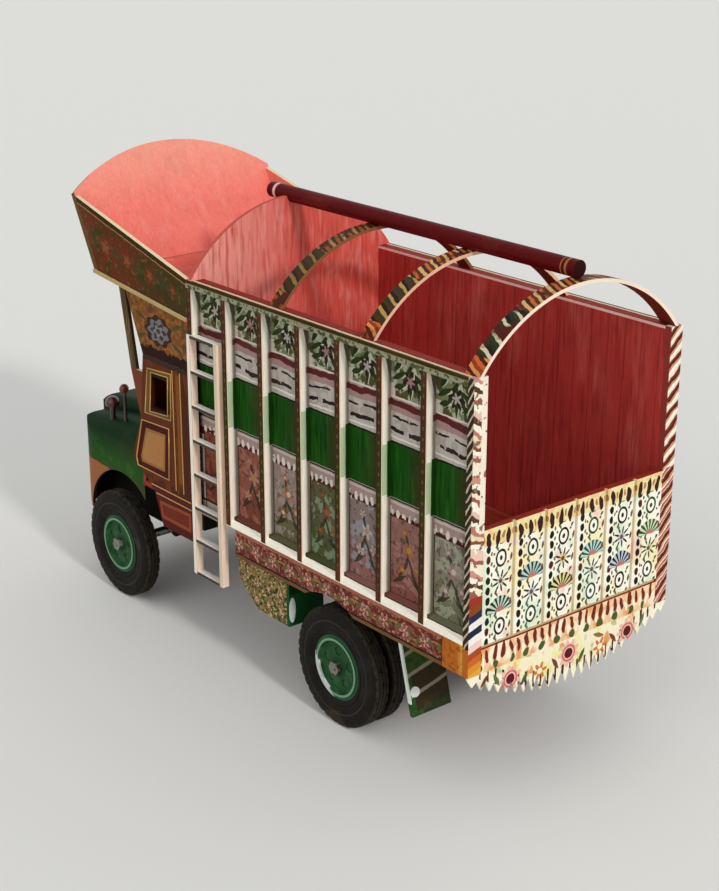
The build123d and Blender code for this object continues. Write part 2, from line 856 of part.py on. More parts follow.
# Chassis
def chassis():
    """Two rails with cross bearers on top and eyed brackets below for the axles."""
    rail_z = (rail_low, bearer_low)
    pieces = []
    for side in (-1, 1):
        middle = side * rail_y
        y = (middle - rail_width / 2, middle + rail_width / 2)
        pieces.append(slab((rail_rear, rail_front), y, rail_z))
        bracket_y = (middle - bracket_thick / 2, middle + bracket_thick / 2)
        for x in (rear_axle_x, front_axle_x):
            pieces.append(Pos(x, 0, 0) * bracket(bracket_y))
    spans = [(x - bearer_width / 2, x + bearer_width / 2) for x in box_bearers]
    spans.append((bulkhead_x, box_length + cab_board))
    spans.append((chamfer_x - bearer_width, chamfer_x))
    for x in spans:
        pieces.append(slab(x, (-valance_inner, valance_inner), (bearer_low, floor_low)))
    member_x = (nose_member_x, nose_member_x + bearer_width)
    member_y = bonnet_half_width - sheet
    member_z = (rail_low, rail_low + bearer_width)
    pieces.append(slab(member_x, (-member_y, member_y), member_z))
    return Part() + pieces


def bracket(y):
    """Plate that narrows from the rail down to a round eye for the axle."""
    plate = [
        (-bracket_top / 2, rail_low),
        (bracket_top / 2, rail_low),
        (bracket_eye, wheel_radius),
        (-bracket_eye, wheel_radius),
    ]
    eye = Pos(0, 0, wheel_radius) * rod(bracket_eye, y)
    bore = Pos(0, 0, wheel_radius) * rod(axle_radius + bore_gap, y)
    return side_board(plate, y) + eye - bore


def mud_flap():
    """Flap under the bearer behind the wheel, leaning back towards its foot."""
    head = box_bearers[1] + bearer_width / 2
    foot = head - flap_lean
    points = [
        (head, bearer_low),
        (foot, flap_low),
        (foot - flap_thick, flap_low),
        (head - flap_thick, bearer_low),
    ]
    return side_board(points, (flap_outer - flap_width, flap_outer))


# Ladder and toolbox
def ladder():
    """Two flat stiles with treads, standing against the edge of the floor."""
    y = (valance_inner, deck_half_width)
    z = (ladder_low, ladder_high)
    pieces = [slab((ladder_rear, ladder_rear + ladder_stile), y, z)]
    pieces.append(slab((box_length - ladder_stile, box_length), y, z))
    tread_x = (ladder_rear + ladder_stile, box_length - ladder_stile)
    pitch = (ladder_high - ladder_low - ladder_tread) / (ladder_rungs - 1)
    for k in range(ladder_rungs):
        low = ladder_low + k * pitch
        pieces.append(slab(tread_x, y, (low, low + ladder_tread)))
    return Part() + pieces


def toolbox():
    """Box under the floor with its lower front corner cut off."""
    points = [
        (toolbox_rear, toolbox_low),
        (toolbox_front - toolbox_chamfer, toolbox_low),
        (toolbox_front, toolbox_low + toolbox_chamfer_rise),
        (toolbox_front, bearer_low),
        (toolbox_rear, bearer_low),
    ]
    return side_board(points, (toolbox_outer - toolbox_width, toolbox_outer))


def box_floor():
    return slab((rear_post_depth, bulkhead_x), (-panel_inner, panel_inner), (floor_low, floor_top))


# Pieces of the truck
singles = {
    "chassis": chassis(),
    "front_axle": axle(front_axle_x, tyre_inner_y + rim_inset),
    "rear_axle": axle(rear_axle_x, twin_inner_y + rim_inset),
    "toolbox_left": toolbox(),
    "ladder_left": ladder(),
    "box_floor": box_floor(),
    "frame_left": side_frame(bay_count - 1, ladder_high),
    "frame_right": mirror(side_frame(bay_count, floor_top), about=Plane.XZ),
    "valance_left": valance(valance_front_left),
    "valance_right": mirror(valance(box_length), about=Plane.XZ),
    "bulkhead": bulkhead(),
    "tailgate": tailgate(),
    "tail_fringe": fringe(),
    "hoop_rear": hoop(hoop_rear_x),
    "hoop_middle": hoop(hoop_middle_x),
    "hoop_front": hoop(hoop_front_x),
    "ridge_pole": pole(pole_diameter / 2),
    "crown_deck": crown_deck(),
    "crown_front": crown_front(),
    "forehead_front": forehead_front(),
    "cab_floor": cab_floor(),
    "cab_back": cab_back(),
    "cab_roof": cab_roof(),
    "cab_front": cab_front(),
    "windscreen_frame": windscreen_frame(),
    "windscreen": windscreen(),
    "bonnet": bonnet(),
    "grille": grille(),
    "headlamps": headlamps(),
    "bumper": bumper(),
    "fender_lamps": fender_lamps(),
    "corner_lamps": corner_lamps(),
}
pairs = {
    "wall": wall(),
    "rear_post": rear_post(),
    "crown_side": crown_side(),
    "forehead_side": forehead_side(),
    "cab_side": cab_side(),
    "wing": wing(),
    "fender": fender(),
    "mud_flap": mud_flap(),
}
for name, shape in singles.items():
    save(name, shape)
for name, shape in pairs.items():
    save_pair(name, shape)
twin_sides = [wheel_outer_y, tyre_inner_y - twin_gap]
save_wheel("front", front_axle_x, [wheel_outer_y], tyre_inner_y + rim_inset)
save_wheel("rear", rear_axle_x, twin_sides, twin_inner_y + rim_inset)
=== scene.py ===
import math

import bpy
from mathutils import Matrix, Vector


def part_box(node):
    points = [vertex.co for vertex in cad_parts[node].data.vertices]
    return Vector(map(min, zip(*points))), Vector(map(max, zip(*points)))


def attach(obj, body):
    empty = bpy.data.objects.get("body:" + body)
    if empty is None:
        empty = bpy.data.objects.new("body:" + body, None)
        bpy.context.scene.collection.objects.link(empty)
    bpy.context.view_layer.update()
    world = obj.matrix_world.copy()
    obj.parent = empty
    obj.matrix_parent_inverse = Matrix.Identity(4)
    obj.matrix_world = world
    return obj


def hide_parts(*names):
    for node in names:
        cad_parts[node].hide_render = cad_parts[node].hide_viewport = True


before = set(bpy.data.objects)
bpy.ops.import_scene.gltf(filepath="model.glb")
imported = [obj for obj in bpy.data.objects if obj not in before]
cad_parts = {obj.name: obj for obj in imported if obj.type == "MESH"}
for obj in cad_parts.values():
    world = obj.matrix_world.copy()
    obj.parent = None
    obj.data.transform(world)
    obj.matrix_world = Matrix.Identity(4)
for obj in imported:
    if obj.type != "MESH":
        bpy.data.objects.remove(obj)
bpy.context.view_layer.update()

# Places on the truck in millimetres: x from the tail, y to the left, z from the ground
TAIL_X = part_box("tailgate")[0].x * 1000
BOX_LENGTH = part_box("wall_left")[1].x * 1000 - TAIL_X
BOX_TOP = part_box("wall_left")[1].z * 1000
SIDE_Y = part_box("frame_left")[1].y * 1000
PANEL_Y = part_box("frame_left")[0].y * 1000
INNER_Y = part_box("wall_left")[0].y * 1000
FLOOR_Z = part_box("frame_left")[0].z * 1000
TAILGATE_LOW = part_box("tailgate")[0].z * 1000
RIB = 6.0
BAYS = 7
BAY = (BOX_LENGTH - RIB) / BAYS
CAP_Z = BOX_TOP - 6.5
WHEEL_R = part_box("tyre_front_left")[1].z * 500
SILL_HEIGHT = 8.0
# Heights of the green band, the red line above it and the valance's middle, and the hoops' arc
GREEN_LOW, GREEN_HIGH = 213.9, 257.0
RED_LINE_LOW, RED_LINE_HIGH = 284.6, 289.6
VALANCE_Z = 118.5
HOOP_CENTRE_Z, HOOP_RADIUS = 255.0, 121.0
# Near ground of each bay's tall picture, which goes on over the sloping sill below it
NEAR_GROUNDS = "6C6A52 7E4C44 885E57 4A5030 625E42 74402F 6C3426"


def ends_x(name):
    """Where a node's rear and front ends are, from the tail."""
    return [end.x * 1000 - TAIL_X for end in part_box(name)]


def paint(code):
    """Linear colour of an sRGB hex code; a value from a node stays as it is."""
    if not isinstance(code, str):
        return code
    parts = [int(code[k : k + 2], 16) / 255 for k in (0, 2, 4)]
    return tuple(((c + 0.055) / 1.055) ** 2.4 if c > 0.04 else c / 12.92 for c in parts) + (1.0,)


WHITE = "E9E6DC"
BONE = "CFC3A2"
YELLOW = "E2B84A"
GOLD = "B98A3C"
ORANGE = "CE6A22"
BRICK = "9C3524"
MAROON = "571710"
ROSE = "C98A86"
BLUSH = "EDA79B"
LEAF = "2E7A3A"
GREEN = "14501C"
BOTTLE = "0B3319"
TEAL = "3F9C98"
LILAC = "9A8C9C"
NAVY = "24283F"
OLIVE = "4B4426"
UMBER = "33251A"
INK = "15130F"

# The Mix node's two inputs and its output for colours
COLOUR_A, COLOUR_B, COLOUR_OUT = 6, 7, 2


class Wire:
    """A value on a finish's node tree that Python's operators work on."""

    def __init__(self, finish, socket):
        self.finish = finish
        self.socket = socket

    def math(self, operation, *values):
        return self.finish.node("Math", {"operation": operation}, dict(enumerate(values)))

    def __add__(self, other):
        return self.math("ADD", self, other)

    def __sub__(self, other):
        return self.math("SUBTRACT", self, other)

    def __rsub__(self, other):
        return self.math("SUBTRACT", other, self)

    def __mul__(self, other):
        return self.math("MULTIPLY", self, other)

    def __truediv__(self, other):
        return self.math("DIVIDE", self, other)

    def __mod__(self, other):
        return self.math("FLOORED_MODULO", self, other)

    def __lt__(self, other):
        return self.math("LESS_THAN", self, other)

    def __gt__(self, other):
        return self.math("GREATER_THAN", self, other)

    def __or__(self, other):
        return self.math("MAXIMUM", self, other)

    def __invert__(self):
        return self.math("SUBTRACT", 1.0, self)

    def __abs__(self):
        return self.math("ABSOLUTE", self)

    def __pow__(self, other):
        return self.math("POWER", self, other)

    __radd__ = __add__
    __rmul__ = __mul__


class Finish:
    """A painted material: its nodes, coordinates in millimetres and layers of paint."""

    def __init__(self, name, ground, rough=0.5, metal=0.0, shine=0.05):
        self.material = bpy.data.materials.new(name)
        self.material.use_nodes = True
        self.tree = self.material.node_tree
        self.shader = self.tree.nodes["Principled BSDF"]
        self.shader.inputs["Roughness"].default_value = rough
        self.shader.inputs["Metallic"].default_value = metal
        self.shader.inputs["Specular IOR Level"].default_value = 0.5 if metal else shine
        self.colour = paint(ground)
        self.height = None
        where = self.node("TexCoord", output="Object")
        shift = {0: where, 1: (1000.0,) * 3, 2: (-TAIL_X, 0.0, 0.0)}
        self.place = self.node("VectorMath", {"operation": "MULTIPLY_ADD"}, shift)
        self.x, self.y, self.z = self.split(self.place)
        faces = self.split(self.node("TexCoord", output="Normal"))
        self.face_x, self.face_y, self.face_z = faces

    def node(self, kind, settings=None, inputs=None, output=0):
        """Add a node: its settings first, then the values or links of its sockets."""
        made = self.tree.nodes.new("ShaderNode" + kind)
        for key, value in (settings or {}).items():
            if key == "stops":
                self.set_stops(made.color_ramp, value)
            else:
                setattr(made, key, value)
        for key, value in (inputs or {}).items():
            if isinstance(value, Wire):
                self.tree.links.new(value.socket, made.inputs[key])
            else:
                made.inputs[key].default_value = value
        return Wire(self, made.outputs[output])

    def set_stops(self, ramp, stops):
        ramp.interpolation = "CONSTANT"
        while len(ramp.elements) < len(stops):
            ramp.elements.new(1.0)
        for element, (position, colour) in zip(ramp.elements, stops):
            element.position = position
            element.color = colour

    def split(self, vector):
        made = self.node("SeparateXYZ", None, {0: vector})
        return [Wire(self, s) for s in made.socket.node.outputs]

    def noise(self, size, detail=2.0, stretch=(1.0, 1.0, 1.0), output="Fac"):
        """Soft noise whose blotches are about size millimetres, longer along a small stretch."""
        vector = self.node("VectorMath", {"operation": "MULTIPLY"}, {0: self.place, 1: stretch})
        inputs = {"Vector": vector, "Scale": 1.0 / size, "Detail": detail}
        return self.node("TexNoise", None, inputs, output)

    def wobble(self, amount, size=9.0):
        """Coordinates that stray a little, as a hand-held brush does."""
        stray = self.split(self.noise(size, output="Color"))
        moved = [stray[k] * (2 * amount) - amount for k in range(3)]
        return self.x + moved[0], self.y + moved[1], self.z + moved[2]

    def lay(self, mask, colour):
        """Paint a colour over what is there, where the mask is one."""
        mix = {0: mask, COLOUR_A: self.colour, COLOUR_B: paint(colour)}
        self.colour = self.node("Mix", {"data_type": "RGBA"}, mix, COLOUR_OUT)

    def choose(self, index, colours):
        """The colour in a list, or in a string of codes, that an index counts to."""
        codes = colours.split() if isinstance(colours, str) else colours
        share = (index + 0.5) / len(codes)
        stops = [(k / len(codes), paint(c)) for k, c in enumerate(codes)]
        return self.node("ValToRGB", {"stops": stops}, {0: share})

    def blotches(self, size, level, colour, detail=4.0):
        """Paint a colour in blotches of about size millimetres, fewer at a higher level."""
        self.lay(self.noise(size, detail) > level, colour)

    def within(self, area):
        """A way of laying paint that keeps to an area."""
        return lambda mask, colour: self.lay(area * mask, colour)

    def tone(self, factor):
        """Make the paint lighter or darker by a factor."""
        coat = self.colour if isinstance(self.colour, Wire) else self.colour[:3]
        self.colour = self.node("VectorMath", {"operation": "SCALE"}, {0: coat, "Scale": factor})

    def brushed(self, where, colour, size, seed=0.0, stretch=0.08):
        """Upright streaks of a second colour in one place."""
        streak = self.noise(size, 3.0, (1.0, 1.0, stretch)) + seed
        self.lay(where * ((streak - 0.5) * 5.0), colour)

    def strokes(self, depth, stretch=(1.0, 1.0, 0.2), size=1.8):
        """Brush marks that lighten and darken the paint."""
        mark = self.noise(size, 3.0, stretch)
        self.tone((mark - 0.5) * (depth * 4.0) + 1.0)
        self.height = mark

    def wear(self, dust=0.12, chips=0.0, bare_and_glint=BONE):
        """Dirt in soft blotches and chips that show the ground coat."""
        self.tone(self.noise(34.0, 4.0) * (dust * 2.0) + (1.0 - dust))
        self.lay((self.noise(70.0, 5.0) > 0.6) * (dust * 0.7), "6E5A40")
        if chips:
            self.lay(self.noise(2.4, 5.0) < (0.24 + chips), bare_and_glint)

    def done(self, bump=0.25, rough=None, coat=0.0, grain=None):
        """Wire the colour, a range of roughness and the bump to the shader."""
        inputs = self.shader.inputs
        if isinstance(self.colour, Wire):
            self.tree.links.new(self.colour.socket, inputs["Base Color"])
        else:
            inputs["Base Color"].default_value = self.colour
        if rough:
            low, high = rough
            spread = self.noise(11.0, 3.0) * (high - low) + low
            self.tree.links.new(spread.socket, inputs["Roughness"])
        inputs["Coat Weight"].default_value = coat
        inputs["Coat Roughness"].default_value = 0.12
        if bump:
            height = grain or self.height or self.noise(1.2, 3.0)
            values = {"Height": height, "Strength": bump, "Distance": 0.0004}
            normal = self.node("Bump", None, values)
            self.tree.links.new(normal.socket, inputs["Normal"])
        return self.material


# Shapes of paint; each takes coordinates in millimetres and gives a mask
def band(v, low, high):
    return (v > low) * (v < high)


def dot(u, v, radius):
    return (u * u + v * v) < radius**2


def radial(u, v):
    """How far a point is from the origin."""
    return (u * u + v * v) ** 0.5


def ring(u, v, radius, width):
    return abs(radial(u, v) - radius) < (width / 2)


def oval(u, v, half_u, half_v):
    return dot(u * (1 / half_u), v * (1 / half_v), 1.0)


def bloom(u, v, radius, petals, turn=0.0, notch=0.3):
    """A flower of round petals; turn rotates it and notch deepens the gaps between them."""
    angle = u.math("ARCTAN2", v, u)
    edge = u.math("COSINE", angle * petals + turn)
    return radial(u, v) < (edge * (radius * notch) + radius * (1 - notch))


def leaf(u, v, length, width, lean):
    """A pointed leaf centred on the origin that leans by an angle in degrees."""
    c, s = math.cos(math.radians(lean)), math.sin(math.radians(lean))
    along, across = u * c + v * s, v * c - u * s
    share = along * (2 / length)
    return abs(across) < ((1.0 - share * share) * (width / 2))


def diamond(u, v, half_u, half_v):
    return (abs(u) * (1 / half_u) + abs(v) * (1 / half_v)) < 1.0


def poly(u, v, corners):
    """A convex shape inside its corners."""
    edges = list(zip(corners, corners[1:] + corners[:1]))
    turn = math.copysign(1.0, sum(a[0] * b[1] - b[0] * a[1] for a, b in edges))
    mask = 1.0
    for a, b in edges:
        du, dv = (b[0] - a[0]) * turn, (b[1] - a[1]) * turn
        mask = ((v * du - u * dv) > (a[1] * du - a[0] * dv)) * mask
    return mask


def wrap(v, pitch):
    """Where v lies from the middle of its copy, when copies repeat at a pitch."""
    return v.math("WRAP", v, pitch / 2, -pitch / 2)


def count(v, pitch):
    """The number of the copy that v lies in; the middle of copy zero is at zero."""
    return v.math("FLOOR", v * (1 / pitch) + 0.5)


def copies(v, pitch):
    """Where v lies in its copy, and the copy's number."""
    return wrap(v, pitch), count(v, pitch)


def wave(u, pitch, height):
    return u.math("SINE", u * (2 * math.pi / pitch)) * height


def dress(material, *nodes):
    """Give CAD nodes a finish in place of their plain one."""
    for name in nodes:
        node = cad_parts[name]
        node.data.materials.clear()
        node.data.materials.append(material)


def both(name):
    return [f"{name}_left", f"{name}_right"]


# Load box
def bay_place(x):
    """Where x lies from the middle of its bay, and the number of the bay."""
    return copies(x - RIB / 2 - BAY / 2, BAY)


def side_panel():
    """The painted bays, the dark cap above them and the red boards inside."""
    f = Finish("side_panel_paint", "A89F92")
    x, y, z = f.wobble(0.6)
    u, k = bay_place(x)
    mottle = f.noise(5.0, 4.0)
    blotch = f.noise(9.0, 3.0)
    # top pictures
    top = z - 309.0
    up = band(z, 290.5, 330.0)
    on_top = f.within(up)
    grounds = "6E7450 7C7C62 68704C 7E8270 6E7450 7A7860 737A58"
    f.lay(up, f.choose(k, grounds))
    on_top(mottle > 0.53, "A5A892")
    on_top(blotch > 0.56, "4C4628")
    on_top((abs(u) > 16.5) * (top < -8.0), "BDB3A6")
    for lean, du, dv, length in (
        (66, -5, 2, 27), (114, 5, 2, 26), (34, -11, 1, 17), (150, 12, 1, 17), (90, 0, 4, 27),
        (20, -12, 9, 12), (164, 12, 9, 12), (55, -12, -7, 14), (124, 13, -7, 14),
    ):
        on_top(leaf(u - du + 2.4, top + dv, length, 3.0, lean + 7), "B7BA9E")
        on_top(leaf(u - du, top + dv, length, 4.4, lean), "273618")
    on_top(bloom(u, top + 3.0, 8.6, 6, k * 1.3), "2A1918")
    petals = "A39A90 93706C A39A90 93706C A39A90 93706C A39A90"
    on_top(bloom(u, top + 3.0, 4.6, 5, k * 2.1), f.choose(k, petals))
    # line bands
    lines = band(z, 254.5, 291.0)
    f.lay(lines, "B3ABA1")
    f.lay(lines * (blotch > 0.54) * 0.5, "8F857B")
    drift = wave(x, 61.0, 0.9) + (f.noise(13.0) - 0.5) * 5.0
    f.lay(band(z + drift * 0.4, 280.0, 290.0), "9C7E78")
    f.lay(band(z + drift, RED_LINE_LOW, RED_LINE_HIGH), "552421")
    f.lay(abs(z - 291.2) < 0.6, "D2C7BC")
    for middle, thick in ((276.0, 0.8), (266.4, 1.15)):
        ends = (wave(x + middle * 5.0, 33.0, 1.0) > -0.86) * (f.noise(6.0) > 0.33)
        f.lay((abs(z - middle + drift) < (mottle * (thick * 2.4))) * ends, "2A1E1D")
    f.lay(abs(z - 260.8 + drift * 0.5) < 0.7, "D9D2C6")
    # green band
    green = band(z, GREEN_LOW, GREEN_HIGH)
    f.lay(green, "15420B")
    f.brushed(green, "0A2806", 3.4)
    f.brushed(green, "1F5410", 2.6, 0.01)
    # Painted shadow: the rear part of each bay's green band darkens towards the rib behind it
    f.lay(green * ((u - 2.0) * -0.06), "342A12")
    f.lay(band(z, 256.2, 257.6) | band(z, 212.2, 213.4), INK)
    # pink strip with white teeth over dark red
    tooth = wrap(u + drift * 0.8, 6.4)
    f.lay(band(z, 196.0, 212.2), "9A837D")
    f.lay(band(z, 209.4, 211.4), "B9ADA0")
    f.lay(band(z, 196.0, 202.4 + wave(u, 6.4, 0.6)), "4A1A18")
    gaps = f.noise(8.5, 3.0)
    f.lay(oval(tooth, z - 206.6 + gaps * 8.0 + drift, 1.9, 3.4) * (gaps > 0.43), "CFC6BA")
    # tall pictures: far ground, near ground, a bush and three flowers
    tall = band(z, 137.0, 199.0) * (abs(u) < 20.4)
    on_tall = f.within(tall)
    fars = "7E786A 845E55 7F6E67 57543A 8A786E 85503F 7C4232"
    f.lay(tall, f.choose(k, fars))
    rise = 164.0 + wave(u + k * 11.0, 37.0, 7.0) + drift * 1.5
    on_tall(z < rise, f.choose(k, NEAR_GROUNDS))
    bush = "9A9C86 9A6E64 8E8C94 7E9070 A08A82 9C6456 8E5442"
    on_tall((blotch > 0.54) * 0.7, f.choose(k, bush))
    on_tall((mottle > 0.58) * 0.6, "3A3020")
    for lean, du, dv, length in (
        (62, -4, 160, 34), (118, 6, 163, 30), (35, -9, 151, 18), (145, 10, 152, 18), (75, 3, 184, 20),
    ):
        on_tall(leaf(u - du + drift, z - dv, length, 3.2, lean) * 0.85, "2A2C1C")
    hearts = "B5AB9E A07838 A8766C 8E5226 B5AB9E A07838 A89A90"
    petals = "A07C74 9A6038 AFA79C 7A4032 A5633A A87E74 5A2018"
    for du, dv, size in ((0.0, 177.0, 7.0), (-8.5, 164.0, 5.0), (8.0, 160.0, 5.0), (5.0, 190.0, 3.6)):
        across = u - du + drift * 0.6
        on_tall(bloom(across, z - dv, size, 5, k * 1.7 + du) * 0.75, f.choose(k, petals))
        on_tall(dot(across, z - dv, size * 0.34), f.choose(k, hearts))
    outline = (abs(abs(u) - 20.6) < 0.6) | band(z, 136.4, 138.4)
    f.lay(outline * band(z, 130.0, 200.0), UMBER)
    # shade beside the rear rib of each bay
    f.lay(band(z, 138.0, 330.0) * ((u + 5.0) * -0.045), "2A2018")
    # cap board
    cap = f.z > CAP_Z
    on_cap = f.within(cap)
    f.lay(cap, "8E8E74")
    on_cap(mottle > 0.52, "464E30")
    on_cap(f.z > CAP_Z + 3.4, "8A7C54")
    on_cap(f.z > CAP_Z + 4.1, "33290F")
    top_face = (f.face_z > 0.5) * cap
    on_cap_top = f.within(top_face)
    f.lay(top_face, "3C3014")
    on_cap_top(abs(y) < 103.2, "DDBB98")
    on_cap_top(abs(y) < 100.4, "3A1C14")
    on_cap_top(abs(y) < 99.2, "8A2C26")
    # red boards inside
    inside = (abs(f.y) < INNER_Y + 0.6) * (f.z < BOX_TOP - 0.2)
    on_inside = f.within(inside)
    f.lay(inside, "B43C36")
    f.brushed(inside * 0.7, "C65A50", 14.0, -0.01, 0.3)
    f.brushed(inside * 0.6, "972E2A", 7.0, -0.02, 0.12)
    # Painted light: the inside boards lighter towards the front and the bottom, against the shade
    # near the bulkhead
    on_inside((x * 0.004 - 0.24) * (3.1 - z * 0.012), "CC5248")
    on_inside((abs(wrap(x + z * 0.02, 17.0)) < 0.7) * 0.35, "701A18")
    f.brushed(inside * 0.5, "7E2422", 2.4, 0.0, 0.05)
    on_inside(f.z > BOX_TOP - 2.4, "F0C2B6")
    f.strokes(0.08, (1.0, 1.0, 0.12))
    f.wear(0.10)
    dress(f.done(0.35, (0.5, 0.7)), *both("wall"))


def side_ribs():
    """Ribs: dark outer faces, cream flanks that turn green across the green band."""
    f = Finish("rib_paint", "FAF1DE")
    x, y, z = f.wobble(0.4)
    outer = abs(f.face_y) > 0.9
    depth = abs(y) - PANEL_Y
    f.brushed(1.0, "FFFAF0", 6.0)
    # Painted shade: each flank greyer towards the panel, where the rib behind it shades it
    f.lay((4.2 - depth) * 0.45, "978B7C")
    f.lay(band(z, 216.0, 255.0), "B9CBA2")
    f.lay(band(z, GREEN_LOW, GREEN_HIGH) * (depth < 3.4), "1D4413")
    f.lay(band(z, RED_LINE_LOW, RED_LINE_HIGH) * (depth < 2.6), "6E3530")
    f.lay(abs(y) > SIDE_Y - 0.9, "F0CDB4")
    shades = "54301E 432A1A 3C2A17 3A3012 33300F 382A12 402616 46281A 4C2C1C"
    f.lay(outer * (z > FLOOR_Z + SILL_HEIGHT), f.choose(count(z - 130.0, 24.0), shades))
    along = wrap(x - BAY - RIB / 2, BAY)
    f.lay(outer * diamond(along, wrap(z, 8.0), 0.9, 2.0) * 0.6, "7A5E34")
    # Painted shadow of the cap board: a dark wedge at the top of each flank
    f.lay((depth < (z - 298.0) * 0.24) * (abs(f.face_x) > 0.5), "5A5A48")
    sill = f.z < FLOOR_Z + SILL_HEIGHT + 0.2
    on_sill = f.within(sill)
    on_sill(abs(f.face_y) > 0.2, "F8F0DE")
    slope = z > FLOOR_Z + 4.5
    on_sill((depth < 4.9) * slope, f.choose(bay_place(x)[1], NEAR_GROUNDS))
    on_sill((abs(depth - 4.9) < 0.4) * slope, UMBER)
    foot = abs(wrap(f.x - RIB / 2, BAY)) < RIB / 2
    on_sill(outer * foot * (f.z > FLOOR_Z + 0.6), "4C2C1C")
    f.strokes(0.08, (1.0, 1.0, 0.12))
    f.wear(0.07)
    dress(f.done(0.3, (0.45, 0.65)), *both("frame"))


def maroon_rail():
    """Valance: flower scrolls on maroon over a brown edge, and an orange rear corner."""
    f = Finish("rail_paint", "63281F")
    x, _, z = f.wobble(0.7, 6.0)
    middle = z - VALANCE_Z
    u = wrap(x, 23.0)
    swell = wave(x, 46.0, 3.2)
    f.blotches(5.0, 0.52, "7E4A3A")
    f.blotches(3.0, 0.60, "A8806A", 3.0)
    f.lay(abs(middle + swell) < 0.8, "96703E")
    for lean, du in ((40, -6.5), (140, 6.5), (-30, 0.5)):
        f.lay(leaf(u - du, middle + swell * 0.4, 10.0, 3.2, lean), "5C5A34")
    f.lay(bloom(u, middle - swell * 0.3, 5.6, 5, 1.0), "B0837A")
    f.lay(bloom(u, middle - swell * 0.3, 3.4, 6), "7A2A20")
    f.lay(dot(u, middle - swell * 0.3, 1.2), "C9A87A")
    f.lay(z < 109.4, "6E4C2C")
    f.lay(band(z, 109.0, 110.4), INK)
    f.lay(z > 127.2, "9A5F48")
    corner = f.x < 28.0
    f.lay(corner, "B0621F")
    f.lay(corner * ((12.0 - f.x) * 0.12), "DDA440")
    f.lay(corner * (f.noise(4.0, 4.0) > 0.56) * 0.6, "7A3A16")
    f.lay(band(f.x, 27.2, 28.0), UMBER)
    f.strokes(0.12, (0.15, 1.0, 1.0))
    f.wear(0.16)
    dress(f.done(0.3, (0.4, 0.62)), *both("valance"))


def red_inside():
    """Bulkhead, floor and boards in salmon and red with upright strokes."""
    f = Finish("inside_red_paint", "D9594C")
    f.brushed(0.6, "E88578", 4.0, -0.02, 0.14)
    # Painted light: the bulkhead paler towards the truck's left and darker to its right
    f.lay((f.y + 10.0) * 0.009, "F4A496")
    f.brushed(0.7, "B83A32", 3.2, 0.0, 0.10)
    f.brushed(0.4, "F0AFA2", 9.0, -0.04, 0.3)
    f.lay((f.face_z > 0.3) * (f.z > BOX_TOP), "B8564A")
    f.strokes(0.08, (1.0, 1.0, 0.08), 1.4)
    f.wear(0.08)
    dress(f.done(0.3, (0.5, 0.7)), "bulkhead")
    f = Finish("load_floor_paint", "8A3026")
    f.lay((f.noise(9.0, 3.0, (0.06, 1.0, 1.0)) > 0.53) * 0.6, "9A4232")
    f.lay(abs(wrap(f.y, 18.4)) < 0.35, INK)
    f.strokes(0.12, (0.08, 1.0, 1.0), 1.6)
    f.wear(0.25)
    dress(f.done(0.4, (0.55, 0.8)), "box_floor", "cab_floor")


